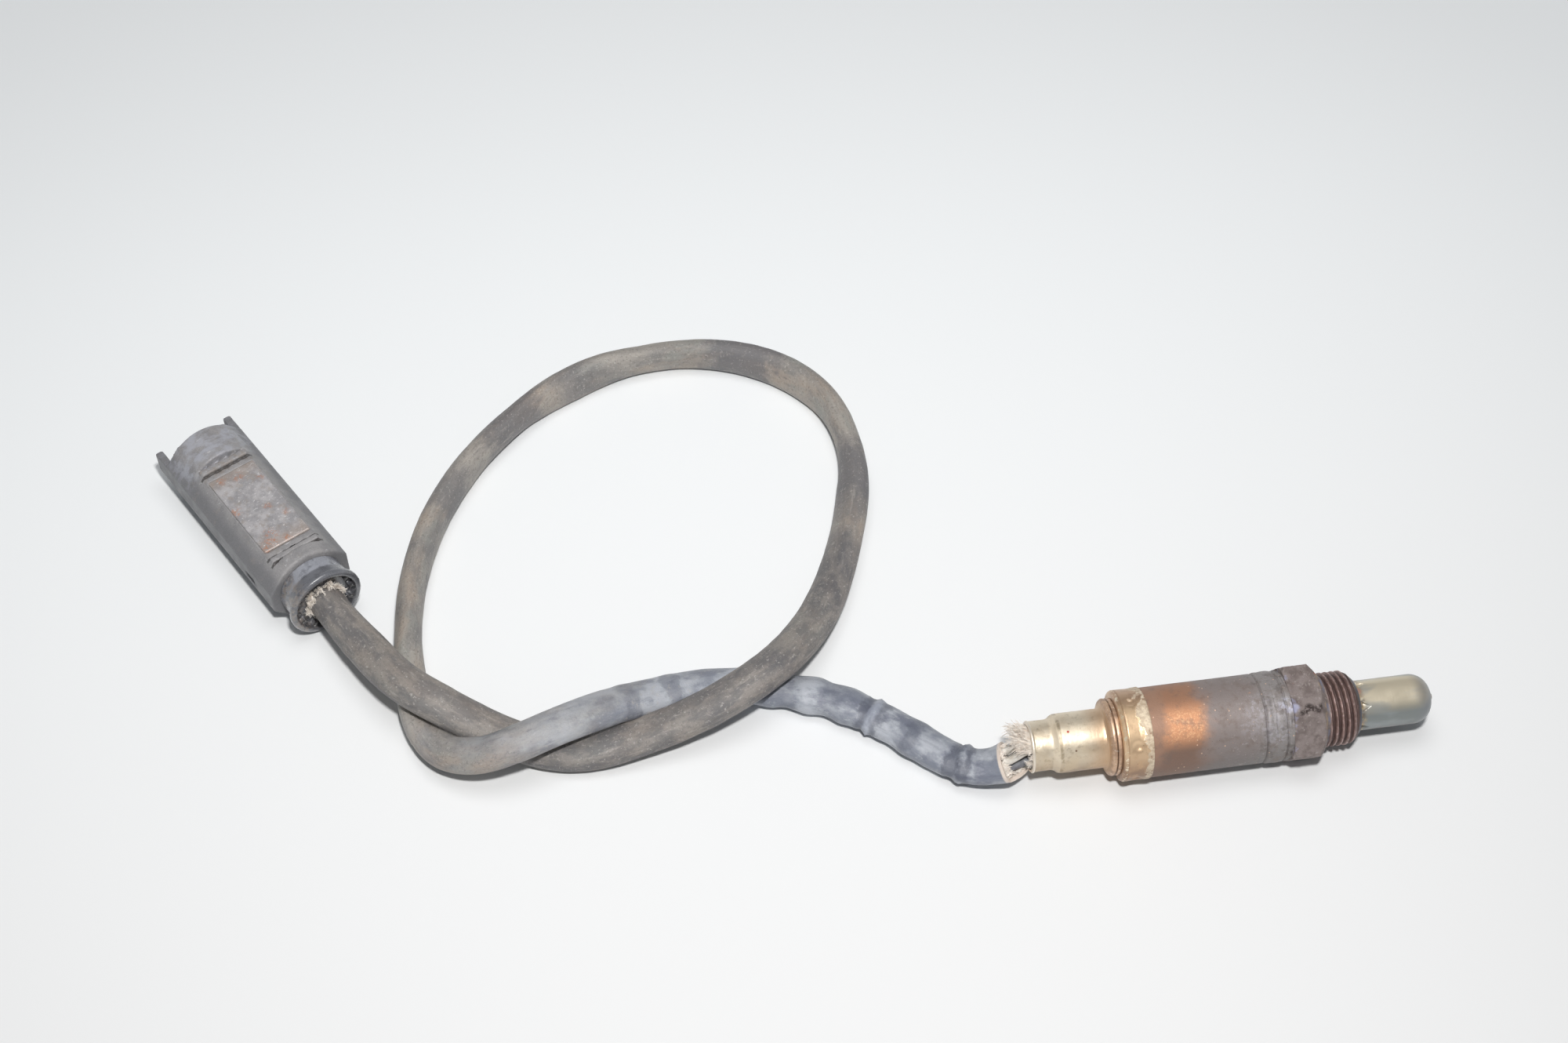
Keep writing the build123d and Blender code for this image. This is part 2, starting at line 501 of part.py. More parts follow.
def connector_housing():
    body = rod(PLUG_BODY_REAR, PLUG_BODY_FRONT, PLUG_BODY_R)
    body = chamfer(body.edges().filter_by(GeomType.CIRCLE), 0.5)
    # side rails, whose front ends stand out past the mouth as guide arms
    rail_y = PLUG_RAIL_HALF_WIDTH - PLUG_RAIL_THICKNESS / 2
    rail_length = PLUG_ARM_TIP - PLUG_BODY_REAR
    rail_x = (PLUG_ARM_TIP + PLUG_BODY_REAR) / 2
    for side in (-1, 1):
        rail = Box(rail_length, PLUG_RAIL_THICKNESS, PLUG_RAIL_HEIGHT)
        rail = fillet(rail.edges().filter_by(Axis.Z).sort_by(Axis.X)[-2:], 0.9)
        corner = fillet(
            Rectangle(rail_length, PLUG_RAIL_HEIGHT).vertices().sort_by(Axis.X)[-2:], 1.6)
        rail &= Pos(0, PLUG_RAIL_THICKNESS / 2, 0) * extrude(
            Plane.XZ * corner, PLUG_RAIL_THICKNESS)
        body += Pos(rail_x, side * rail_y, 0) * rail
    # sloping shoulders that lead from the flat and from the underside to the rails
    section = make_face(Polyline([
        (PLUG_SHOULDER, PLUG_FLAT_HEIGHT), (PLUG_RAIL_HALF_WIDTH, PLUG_RAIL_HEIGHT / 2),
        (PLUG_RAIL_HALF_WIDTH, -PLUG_RAIL_HEIGHT / 2), (PLUG_SHOULDER, -PLUG_FLAT_HEIGHT),
        (-PLUG_SHOULDER, -PLUG_FLAT_HEIGHT), (-PLUG_RAIL_HALF_WIDTH, -PLUG_RAIL_HEIGHT / 2),
        (-PLUG_RAIL_HALF_WIDTH, PLUG_RAIL_HEIGHT / 2), (-PLUG_SHOULDER, PLUG_FLAT_HEIGHT),
    ], close=True))
    body += extrude(Plane(origin=(PLUG_BODY_REAR, 0, 0), x_dir=(0, 1, 0), z_dir=(1, 0, 0))
                    * section, PLUG_BODY_FRONT - PLUG_BODY_REAR)
    # rib on the inner side of one arm, and a nick for a tool at the other side's rear
    rib = Box(5.2, 1.4, 3.0)
    rib = chamfer(rib.edges().filter_by(Axis.Z).sort_by(Axis.X)[-2:], 0.6)
    body += Pos(PLUG_BODY_FRONT + 2.1, 0.5 - rail_y, 0) * rib
    body -= Pos(17.0, PLUG_RAIL_HALF_WIDTH, -1.0) * Box(4.4, 1.4, 1.8)
    # flat on top with a recess for the plate, and a low ridge near each end of it
    flat_length = PLUG_FLAT_FRONT - PLUG_FLAT_REAR
    flat_x = (PLUG_FLAT_FRONT + PLUG_FLAT_REAR) / 2
    body -= Pos(flat_x, 0, PLUG_FLAT_HEIGHT + 5) * Box(flat_length, 30, 10)
    ridge_y = 13.4
    for x, width in ((PLUG_FLAT_FRONT - 1.6, 1.9), (PLUG_FLAT_REAR + 1.4, 1.6)):
        ridge = Box(width, ridge_y, PLUG_RIDGE_HEIGHT + 0.4)
        ridge = fillet(ridge.faces().sort_by(Axis.Z)[-1].edges(), 0.3)
        body += Pos(x, 0, PLUG_FLAT_HEIGHT + PLUG_RIDGE_HEIGHT / 2 - 0.2) * ridge
    for x in (PLUG_FLAT_FRONT - 0.3, PLUG_FLAT_FRONT - 2.9, PLUG_FLAT_REAR + 0.3,
              PLUG_FLAT_REAR + 2.5):
        body -= Pos(x, 0, PLUG_FLAT_HEIGHT) * Box(PLUG_GROOVE_WIDTH, ridge_y,
                                                  2 * PLUG_GROOVE_DEPTH)
    plate_x = PLATE_REAR + PLATE_LENGTH / 2
    pocket = Box(PLATE_LENGTH + 0.2, PLATE_WIDTH + 0.2, 2 * PLATE_RECESS)
    body -= Pos(plate_x, 0, PLUG_FLAT_HEIGHT) * pocket
    # mouth, wall with the terminals' holes, and the bore for the seal and the block
    body -= rod(PLUG_MOUTH_STEP, PLUG_BODY_FRONT + 1, PLUG_MOUTH_R)
    body -= rod(PLUG_MOUTH_FLOOR, PLUG_MOUTH_STEP + 1, PLUG_MOUTH_INNER_R)
    body -= rod(PLUG_BODY_REAR - 1, PLUG_WALL_REAR, PLUG_MAIN_BORE_R)
    body -= rod(PLUG_BODY_REAR - 1, PLUG_REAR_BORE_FRONT, PLUG_REAR_BORE_R)
    body -= wire_holes(PLUG_WALL_REAR - 1, PLUG_MOUTH_FLOOR + 1, PIN_PITCH_R, PIN_BARREL_R + CLEAR)
    # coding ribs inside the mouth, which fix the mate's turn
    for degrees, width in ((90, 2.0), (210, 1.3), (330, 1.3)):
        rib = Pos(0, 0, PLUG_MOUTH_R - 0.5) * Box(7.0, width, 1.4)
        body += Pos(PLUG_MOUTH_STEP + 3.5, 0, 0) * Rotation(degrees - 90, 0, 0) * rib
    return body


def connector_plate():
    plate = Box(PLATE_LENGTH, PLATE_WIDTH, PLATE_THICKNESS)
    plate = fillet(plate.faces().sort_by(Axis.Z)[-1].edges(), 0.2)
    z = PLUG_FLAT_HEIGHT - PLATE_RECESS + PLATE_THICKNESS / 2
    return Pos(PLATE_REAR + PLATE_LENGTH / 2, 0, z) * plate


def rear_cap():
    """Cap with a flange and a ribbed recess, pushed into the housing's rear bore."""
    flange_front = CAP_REAR + CAP_FLANGE_THICKNESS
    body = revolved([
        (CAP_REAR, 0), (CAP_REAR, CAP_FLANGE_R - 0.5), (CAP_REAR + 0.4, CAP_FLANGE_R),
        (flange_front - 0.5, CAP_FLANGE_R), (flange_front, CAP_FLANGE_R - 0.5),
        (flange_front, CAP_BODY_R), (PLUG_BODY_REAR, CAP_BODY_R),
        (PLUG_BODY_REAR, PLUG_REAR_BORE_R - CLEAR), (CAP_SPIGOT_FRONT, PLUG_REAR_BORE_R - CLEAR),
        (CAP_SPIGOT_FRONT, 0),
    ])
    body -= rod(CAP_REAR - 1, 0, CAP_RECESS_R)
    rib_y = (CAP_RECESS_R + CAP_RIB_INNER_R) / 2 + 0.2
    rib = Pos(CAP_REAR / 2 + 0.3, rib_y, 0) * Box(
        -CAP_REAR - 0.6, CAP_RECESS_R - CAP_RIB_INNER_R + 0.4, CAP_RIB_THICKNESS)
    for degrees in around(CAP_RIBS):
        body += Rotation(degrees, 0, 0) * rib
    return body - wire_holes(-1, CAP_SPIGOT_FRONT + 1, WIRE_MOUTH_R, WIRE_R + CLEAR)


def harness_wire(degrees):
    """The wire's end inside the connector, from the lead's end face to its terminal."""
    y0, z0 = on_circle(WIRE_MOUTH_R, degrees)
    y1, z1 = on_circle(PIN_PITCH_R, degrees)
    path = FilletPolyline(
        [
            Vector(0, y0, z0),
            Vector(CAP_SPIGOT_FRONT + 0.4, y0, z0),
            Vector(PIN_REAR - 1.2, y1, z1),
            Vector(PIN_REAR, y1, z1),
        ],
        radius=1.2,
    )
    return sweep(Plane(origin=path @ 0, z_dir=path % 0) * Circle(WIRE_R), path=path)


def wire_seal():
    """Soft seal with three lips, pierced for the four terminals."""
    root, lip = PLUG_MAIN_BORE_R - 0.7, PLUG_MAIN_BORE_R - CLEAR
    outline = [(PIN_REAR, 0), (PIN_REAR, root)]
    pitch = (SEAL_FRONT - PIN_REAR) / SEAL_LIPS
    for i in range(SEAL_LIPS):
        x = PIN_REAR + pitch * i
        outline += [(x + 0.4, root), (x + 0.8, lip), (x + 1.3, lip), (x + 1.7, root)]
    outline += [(SEAL_FRONT, root), (SEAL_FRONT, 0)]
    return revolved(outline) - wire_holes(
        PIN_REAR - 1, SEAL_FRONT + 1, PIN_PITCH_R, PIN_BARREL_R + CLEAR)


def terminal_block():
    body = rod(SEAL_FRONT, PLUG_WALL_REAR, PLUG_MAIN_BORE_R - CLEAR)
    body = chamfer(body.edges().filter_by(GeomType.CIRCLE), 0.4)
    return body - wire_holes(
        SEAL_FRONT - 1, PLUG_WALL_REAR + 1, PIN_PITCH_R, PIN_BARREL_R + CLEAR)


def connector_pin(degrees):
    y, z = on_circle(PIN_PITCH_R, degrees)
    pin = revolved([
        (PIN_REAR, 0), (PIN_REAR, PIN_BARREL_R), (PIN_SHOULDER, PIN_BARREL_R),
        (PIN_SHOULDER + 0.5, PIN_R), (PIN_TIP - 0.9, PIN_R), (PIN_TIP, PIN_R * 0.4),
        (PIN_TIP, 0),
    ])
    return Pos(0, y, z) * pin


def connector_braid():
    """Frayed braid end, round the lead where it enters the rear cap."""
    inner = LEAD_DIAMETER / 2 + CLEAR
    return revolved([
        (CAP_REAR - 0.9, inner), (CAP_REAR - 0.9, inner + 0.8), (CAP_REAR + 1.0, inner + 1.2),
        (-0.2, inner + 0.9), (-0.2, inner),
    ])


def all_pieces():
    pieces = {
        "hex_shell": hex_shell(),
        "protection_tube": protection_tube(),
        "inner_protection_tube": inner_protection_tube(),
        "sensing_element": sensing_element(),
        "heater_rod": heater_rod(),
        "talc_seal": talc_seal(),
        "support_bush": support_bush(),
        "retaining_ring": retaining_ring(),
        "protective_sleeve": protective_sleeve(),
        "crimp_ring": crimp_ring(),
        "clamp_washer": clamp_washer(),
        "outlet_sleeve": outlet_sleeve(),
        "cable_grommet": cable_grommet(),
        "disc_spring": disc_spring(),
        "contact_holder": contact_holder(),
        "outlet_braid": outlet_braid(),
        "cable_sleeve": cable_sleeve(),
    }
    for number, degrees in enumerate(around(WIRES, FIRST_WIRE_DEG), start=1):
        pieces[f"contact_clip_{number}"] = contact_clip(degrees)
        pieces[f"outlet_wire_{number}"] = outlet_wire(degrees)
    connector = {
        "connector_housing": connector_housing(),
        "connector_plate": connector_plate(),
        "rear_cap": rear_cap(),
        "wire_seal": wire_seal(),
        "terminal_block": terminal_block(),
        "connector_braid": connector_braid(),
    }
    for number, degrees in enumerate(around(WIRES, FIRST_WIRE_DEG), start=1):
        connector[f"connector_pin_{number}"] = connector_pin(degrees)
        connector[f"harness_wire_{number}"] = harness_wire(degrees)
    for name, solid in connector.items():
        pieces[name] = plug_place() * solid
    return pieces


os.makedirs("parts", exist_ok=True)
for node, solid in all_pieces().items():
    export_step(solid, f"parts/{node}.step")
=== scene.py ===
"""A used, heated oxygen sensor with its knotted lead and plug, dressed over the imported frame.

The frame is in metres: +X runs along the sensor's axis to the probe's tip, the origin lies in
the plane of the hexagon's front face, and +Z is up. Sizes below are in millimetres, as in the
part's source, and are turned into metres where a mesh or an object is made.
"""
import math
import random

import bmesh
import bpy
import numpy as np
from mathutils import Euler, Matrix, Vector


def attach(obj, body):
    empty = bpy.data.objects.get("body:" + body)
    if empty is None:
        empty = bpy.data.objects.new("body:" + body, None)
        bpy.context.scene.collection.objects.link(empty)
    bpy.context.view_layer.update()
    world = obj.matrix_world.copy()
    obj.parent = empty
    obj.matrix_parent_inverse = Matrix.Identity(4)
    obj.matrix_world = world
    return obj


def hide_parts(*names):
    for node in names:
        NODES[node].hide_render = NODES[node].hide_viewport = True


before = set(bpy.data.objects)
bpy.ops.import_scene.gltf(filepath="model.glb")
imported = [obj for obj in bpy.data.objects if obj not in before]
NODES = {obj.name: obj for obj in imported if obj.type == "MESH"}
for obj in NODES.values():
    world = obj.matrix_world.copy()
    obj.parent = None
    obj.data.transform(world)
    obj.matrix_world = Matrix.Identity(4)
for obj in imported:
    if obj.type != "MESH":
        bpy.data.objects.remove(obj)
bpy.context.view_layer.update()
MM = 0.001
FLOOR_Z = -11.0


# ---- the camera and the lamps ----
CAMERA_PLACE = (-173.1, -295.9, 465.4)
CAMERA_PITCH = 51.0         # degrees below the horizon
CAMERA_TURN = 8.5           # degrees that the view is turned from +Y towards +X
CAMERA_LENS, SENSOR_WIDTH = 53.62, 36.0


def add_camera():
    data = bpy.data.cameras.new("camera")
    data.lens, data.sensor_width = CAMERA_LENS, SENSOR_WIDTH
    data.clip_start, data.clip_end = 0.01, 20.0
    camera = bpy.data.objects.new("camera", data)
    turn = Euler((math.radians(90 - CAMERA_PITCH), 0, -math.radians(CAMERA_TURN)))
    camera.matrix_world = (Matrix.Translation(Vector(CAMERA_PLACE) * MM)
                           @ turn.to_matrix().to_4x4())
    bpy.context.scene.collection.objects.link(camera)
    bpy.context.scene.camera = camera


def add_lamp(name, place, target, size, power, colour=(1, 1, 1)):
    data = bpy.data.lights.new(name, "AREA")
    data.shape, data.size, data.energy, data.color = "DISK", size, power, colour
    lamp = bpy.data.objects.new(name, data)
    lamp.location = place
    lamp.rotation_euler = (Vector(target) - Vector(place)).to_track_quat("-Z", "Y").to_euler()
    bpy.context.scene.collection.objects.link(lamp)


def add_light():
    add_lamp("key", (-0.13, -0.24, 0.60), (-0.13, 0.62, 0), 0.055, 3.95, (1, 0.985, 0.965))
    add_lamp("softbox", (-0.13, 0.07, 0.80), (-0.13, 0.12, 0), 0.50, 1.60)
    bpy.context.scene.view_settings.view_transform = "Standard"


# ---- node trees ----
def tint(screen):
    """Linear values, which shaders use, of a colour as a screen shows it, such as "#7C8096"."""
    shares = [v / 255.0 for v in bytes.fromhex(screen[1:])]
    return (*(v / 12.92 if v <= 0.04045 else ((v + 0.055) / 1.055) ** 2.4 for v in shares), 1)


BACKDROP = tint("#DDE0E2")


class Nodes:
    """Adds nodes to a tree. A value may be a socket, a number or a tuple of numbers."""

    def __init__(self, tree):
        self.tree = tree

    def join(self, value, socket):
        if isinstance(value, bpy.types.NodeSocket):
            self.tree.links.new(value, socket)
        else:
            socket.default_value = value

    def add(self, kind, *values, named=(), **settings):
        """A node with its first inputs, and those that a dict names, set to values."""
        node = self.tree.nodes.new("ShaderNode" + kind)
        for key, value in settings.items():
            setattr(node, key, value)
        for value, socket in zip(values, node.inputs):
            self.join(value, socket)
        for key, value in dict(named).items():
            self.join(value, node.inputs[key])
        return node

    def math(self, operation, *values):
        return self.add("Math", *values, operation=operation).outputs[0]

    def both(self, first, *others):
        """Product of the values."""
        for value in others:
            first = self.math("MULTIPLY", first, value)
        return first

    def total(self, *values):
        """Sum of the values, where a pair is a value and its weight."""
        first, *others = [self.both(*v) if isinstance(v, tuple) else v for v in values]
        for value in others:
            first = self.math("ADD", first, value)
        return first

    def ramp(self, value, low, high, start=0, end=1):
        """Goes smoothly from start to end as value goes from low to high."""
        return self.add("MapRange", value, low, high, start, end,
                        interpolation_type="SMOOTHSTEP").outputs[0]

    def background_rays(self):
        """1 for rays that show what is behind the object, also by reflection, and 0 for light."""
        path = self.add("LightPath").outputs
        mirrored = self.math("MAXIMUM", path["Is Glossy Ray"], path["Is Transmission Ray"])
        return self.math("MAXIMUM", path["Is Camera Ray"], mirrored)

    def mix_shaders(self, share, a, b, surface):
        self.join(self.add("MixShader", share, a, b).outputs[0], surface)


class Paint(Nodes):
    """A material of layers of colour, whose patterns are measured in millimetres of the part.

    Its colours are sockets, or strings as in tint.
    """

    def __init__(self, name, origin=(0, 0, 0), azimuth=0):
        self.material = bpy.data.materials.new(name)
        self.material.use_nodes = True
        super().__init__(self.material.node_tree)
        self.tree.nodes.clear()
        self.surface = self.add("OutputMaterial").inputs["Surface"]
        self.place = self.add("Mapping", self.add("TexCoord").outputs["Object"],
                              Vector(origin) * MM, (0, 0, math.radians(azimuth)), (MM, MM, MM),
                              vector_type="TEXTURE").outputs["Vector"]
        self.x, self.y, self.z = self.add("SeparateXYZ", self.place).outputs
        self.colour = None

    def texture(self, kind, size, shift, stretch=(1, 1, 1), **named):
        scale = [1.0 / (size * s) for s in stretch]
        place = self.add("VectorMath", self.place, scale, shift, operation="MULTIPLY_ADD")
        return self.add(kind, named={"Vector": place.outputs[0], "Scale": 1, **named}).outputs

    def noise(self, size, detail=4, roughness=0.55, stretch=(1, 1, 1), shift=0):
        """Cloudy noise between 0 and 1 with lumps about size millimetres wide."""
        return self.texture("TexNoise", size, (shift, shift * 1.7, shift * 0.6), stretch,
                            Detail=detail, Roughness=roughness)["Fac"]

    def cells(self, size, shift):
        """Distance from scattered points about size millimetres apart, 0 at each point."""
        return self.texture("TexVoronoi", size, (shift, shift * 1.3, shift * 0.7))["Distance"]

    def patches(self, size, detail, roughness, low, high, share=1, **where):
        """Ragged patches, up to share, where noise goes from low to high."""
        return self.ramp(self.noise(size, detail, roughness, **where), low, high, 0, share)

    def ragged(self, value, reach, noise):
        """The value, moved by noise up to half of reach each way."""
        return self.total(value, (self.math("SUBTRACT", noise, 0.5), reach))

    def band(self, value, centre, half, soft):
        """1 within half of centre, falling to 0 over soft."""
        away = self.math("ABSOLUTE", self.math("SUBTRACT", value, centre))
        return self.ramp(away, half + soft, half)

    def distance(self, place):
        return self.add("VectorMath", self.place, place, operation="DISTANCE").outputs["Value"]

    def mark(self, x, degrees, radius, size, soft):
        """1 on a round spot at a station and angle on the sensor, and 0 elsewhere."""
        a = math.radians(degrees)
        spot = (x, radius * math.cos(a), radius * math.sin(a))
        return self.ramp(self.distance(spot), size + soft, size)

    def off_axis(self):
        """Distance from the X axis."""
        return self.math("SQRT", self.total((self.y, self.y), (self.z, self.z)))

    def blend(self, share, a, b):
        named = {key: tint(value) if isinstance(value, str) else value
                 for key, value in (("Factor", share), ("A", a), ("B", b))}
        return self.add("Mix", named=named, data_type="RGBA").outputs["Result"]

    def lay(self, colour, *shares):
        """Covers the colour so far with another, as far as the product of the shares."""
        self.colour = self.blend(self.both(*shares), self.colour, colour)

    def shader(self, roughness, metal=0, height=None, depth=0.1, specular=0.5, coat=0):
        """The shader in the colour so far. height is a pattern depth millimetres high."""
        named = {"Base Color": self.colour, "Roughness": roughness, "Metallic": metal,
                 "Specular IOR Level": specular, "Coat Weight": coat, "Coat Roughness": 0.25}
        if height is not None:
            bump = {"Strength": 1, "Distance": depth * MM, "Height": height}
            named["Normal"] = self.add("Bump", named=bump).outputs[0]
        return self.add("BsdfPrincipled", named=named).outputs[0]

    def finish(self, *looks, **more):
        self.join(self.shader(*looks, **more), self.surface)
        return self.material


# ---- mesh helpers ----
def hashed(ix, iy, iz, seed):
    n = (ix * 73856093) ^ (iy * 19349663) ^ (iz * 83492791) ^ (seed * 7919 + 12345)
    n &= 0xFFFFFFFF
    n = ((n ^ (n >> 13)) * 1274126177) & 0xFFFFFFFF
    return ((n ^ (n >> 16)) & 0xFFFF) / 65535.0


def lumps(points, size, seed, octaves=3):
    """Smooth noise from -1 to 1 at an array of points, with lumps about size wide."""
    total, weight = 0, 0.0
    for octave in range(octaves):
        p = points / (size / 2 ** octave) + 19.7 * octave
        low = np.floor(p).astype(np.int64)
        t = p - low
        t = t * t * (3 - 2 * t)
        value = 0.0
        for corner in range(8):
            dx, dy, dz = corner & 1, corner >> 1 & 1, corner >> 2 & 1
            share = ((t[..., 0] if dx else 1 - t[..., 0]) * (t[..., 1] if dy else 1 - t[..., 1])
                     * (t[..., 2] if dz else 1 - t[..., 2]))
            value = value + share * hashed(low[..., 0] + dx, low[..., 1] + dy,
                                           low[..., 2] + dz, seed + octave)
        total = total + (2 * value - 1) * 0.5 ** octave
        weight += 0.5 ** octave
    return total / weight


def step(value, low, high):
    """Smooth step of an array from 0 at low to 1 at high."""
    t = np.clip((value - low) / (high - low), 0, 1)
    return t * t * (3 - 2 * t)


def hump(value, centre, width):
    """A bell of height 1 at centre, about width wide on each side."""
    return np.exp(-((value - centre) / width) ** 2)


def angle_from(angle, degrees):
    """Signed difference between an array of angles and a direction, in radians."""
    return (angle - math.radians(degrees) + math.pi) % (2 * math.pi) - math.pi


def add_object(name, mesh, material, crease=38):
    piece = bpy.data.objects.new(name, mesh)
    bpy.context.scene.collection.objects.link(piece)
    mesh.materials.clear()
    mesh.materials.append(material)
    mesh.shade_smooth()
    mesh.set_sharp_from_angle(angle=math.radians(crease))
    return piece


def grid_mesh(name, places, closed_rows=False, caps=False):
    """A mesh from rows of points in millimetres, each row a closed ring of points."""
    rows, columns = places.shape[:2]
    index = np.arange(rows * columns).reshape(rows, columns)
    near = index if closed_rows else index[:-1]
    far = np.roll(index, -1, axis=0) if closed_rows else index[1:]
    faces = np.stack([near, np.roll(near, -1, axis=1), np.roll(far, -1, axis=1), far], axis=-1)
    faces = faces.reshape(-1, 4).tolist()
    if caps:
        faces += [index[0, ::-1].tolist(), index[-1].tolist()]
    mesh = bpy.data.meshes.new(name)
    mesh.from_pydata((places.reshape(-1, 3) * MM).tolist(), [], faces)
    tidy = bmesh.new()
    tidy.from_mesh(mesh)
    bmesh.ops.recalc_face_normals(tidy, faces=tidy.faces)
    tidy.to_mesh(mesh)
    tidy.free()
    return mesh


def stand_for(piece, slot, *nodes):
    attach(piece, "root")
    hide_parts(*nodes)


def turned(name, material, shape, slot, node, outline, columns=240, crease=38):
    """A closed skin about X that stands for a CAD node.

    The outline is closed. Its corners are (x, radius), and a third number says how far apart
    the rings are on the run that begins there. shape(x, radius, angle, points) returns the x
    and radius of the displaced rings.
    """
    rings = []
    for (x0, r0, *spacing), (x1, r1, *_) in zip(outline, outline[1:] + outline[:1]):
        run = math.hypot(x1 - x0, r1 - r0)
        count = max(1, round(run / spacing[0])) if spacing else 1
        rings += [(x0 + (x1 - x0) * i / count, r0 + (r1 - r0) * i / count) for i in range(count)]
    x, radius = np.repeat(np.array(rings).T[:, :, None], columns, axis=2)
    angle = np.linspace(0, 2 * math.pi, columns, endpoint=False)[None, :]
    angle = np.repeat(angle, len(rings), axis=0)
    points = np.stack([x, radius * np.cos(angle), radius * np.sin(angle)], axis=-1)
    x, radius = shape(x, radius, angle, points)
    points = np.stack([x, radius * np.cos(angle), radius * np.sin(angle)], axis=-1)
    points[..., 2] = np.maximum(points[..., 2], FLOOR_Z)
    piece = add_object(name, grid_mesh(name, points, closed_rows=True), material, crease)
    stand_for(piece, slot, node)


def frames(points, upward=(0, 0, 1)):
    """Direction, level side and rise at each point of a line."""
    along = np.gradient(points, axis=0)
    along /= np.linalg.norm(along, axis=1)[:, None]
    side = np.cross(along, upward)
    side /= np.linalg.norm(side, axis=1)[:, None]
    return along, side, np.cross(side, along)


def tubes(name, paths, material, sides=3):
    """One mesh of thin strands. paths is a list of (points, radius) in millimetres."""
    corners, faces = [], []
    around = 2 * math.pi * np.arange(sides)[:, None] / sides
    for points, radius in paths:
        _, side, rise = frames(points, (0.3, 0.2, 0.93))
        thin = np.full((len(points), 1, 1), radius)
        thin[-1] *= 0.55
        rings = points[:, None] + thin * (side[:, None] * np.cos(around)
                                          + rise[:, None] * np.sin(around))
        first, last = len(corners), len(corners) + (len(points) - 1) * sides
        corners += (rings.reshape(-1, 3) * MM).tolist()
        for ring in range(first, last, sides):
            for k in range(sides):
                a, b = ring + k, ring + (k + 1) % sides
                faces.append((a, b, b + sides, a + sides))
        faces += [list(range(first, first + sides))[::-1], list(range(last, last + sides))]
    mesh = bpy.data.meshes.new(name)
    mesh.from_pydata(corners, [], faces)
    return add_object(name, mesh, material, 60)


def remade(node, name, material, voxel, smoothing, shape=None, crease=50):
    """A CAD node's form rebuilt in small faces, so that its edges are softened by use.

    shape(points) takes and returns the vertices as an array, in millimetres.
    """
    mesh = NODES[node].data.copy()
    weld = bmesh.new()
    weld.from_mesh(mesh)
    bmesh.ops.remove_doubles(weld, verts=weld.verts, dist=1e-6)
    weld.to_mesh(mesh)
    weld.free()
    source = bpy.data.objects.new(name + "_source", mesh)
    bpy.context.scene.collection.objects.link(source)
    remesh = source.modifiers.new("remesh", "REMESH")
    remesh.mode, remesh.voxel_size = "VOXEL", voxel * MM
    soften = source.modifiers.new("soften", "SMOOTH")
    soften.iterations, soften.factor = smoothing, 0.5
    graph = bpy.context.evaluated_depsgraph_get()
    result = bpy.data.meshes.new_from_object(source.evaluated_get(graph))
    bpy.data.objects.remove(source)
    if shape is not None:
        flat = np.empty(len(result.vertices) * 3)
        result.vertices.foreach_get("co", flat)
        moved = shape(flat.reshape(-1, 3) / MM)
        result.vertices.foreach_set("co", (moved * MM).ravel())
        result.update()
    result.name = name
    return add_object(name, result, material, crease)


# ---- materials of the sensor ----
def shell_material():
    """Hexagon and thread: brown-grey scale, redder and smoother on the thread."""
    p = Paint("shell")
    off_axis = p.off_axis()
    # the thread, with painted shade in its grooves and a painted highlight, in patches, on its
    # crests
    streak = p.noise(1.4, 5, 0.6, stretch=(0.35, 1.6, 1.6), shift=3)
    p.colour = p.blend(p.ramp(streak, 0.35, 0.65), "#9E827C", "#7A645F")
    p.lay("#4A3A38", p.ramp(off_axis, 8.75, 8.2), 0.75)
    p.lay("#C6ACA6", p.ramp(off_axis, 8.6, 8.9),
          p.patches(1.1, 4, 0.6, 0.5, 0.66, 0.8, stretch=(0.5, 1, 1), shift=31))
    red = p.colour
    # heat scale with pale deposits, pits and a few orange flecks
    cloud, fine = p.noise(2.6, 6, 0.6), p.noise(0.5, 6, 0.7, shift=4)
    p.colour = p.blend(p.ramp(cloud, 0.38, 0.66), "#8E8380", "#746865")
    p.lay("#ACA4A0", p.patches(1.2, 8, 0.75, 0.55, 0.66, 0.8, shift=9))
    p.lay("#524846", p.ramp(fine, 0.36, 0.28, 0, 0.8))
    p.lay("#AA765E", p.patches(0.9, 5, 0.6, 0.68, 0.76, 0.8, shift=21))
    thread = p.ramp(p.x, 0.9, 1.5)
    p.lay(red, thread)
    # blue-grey seat, tan stain, violet tints, and a painted violet highlight on the top at -8 mm
    p.lay("#7C8096", p.band(p.x, 0.62, 0.3, 0.3),
          p.patches(3, 3, 0.5, 0.42, 0.6, shift=8), 0.8)
    p.lay("#B09A7E", p.band(p.x, -0.2, 0.35, 0.4),
          p.patches(2.2, 3, 0.5, 0.54, 0.64, shift=14), 0.7)
    p.lay("#9C9CB4", p.band(p.x, -8, 0.3, 0.4),
          p.patches(1.5, 3, 0.5, 0.55, 0.66, shift=40), 0.55)
    # a painted violet highlight
    p.lay("#B0B0C8", p.mark(-8, 117, 11.6, 0.7, 0.8))
    # dirt in the pits of one flat, a rust spot, and the grey front
    for x, degrees, size in ((-5.6, 122, 0.55), (-4.7, 117, 0.75), (-3.6, 120, 0.5),
                             (-1.7, 118, 0.5), (-2.6, 123, 0.3), (-6.6, 124, 0.4)):
        p.lay("#423836", p.mark(x, degrees, 12.5, size, 0.6),
              p.patches(0.7, 4, 0.6, 0.36, 0.5, shift=6))
    p.lay("#CE6A42", p.mark(-0.4, 70, 11.2, 0.3, 0.35))
    p.lay("#626670", p.ramp(p.x, 8.6, 9.2))
    return p.finish(p.ramp(thread, 0, 1, 0.62, 0.4), p.ramp(p.x, 0.9, 1.5, 0.15, 0.45),
                    p.total((cloud, 0.5), fine), 0.2)


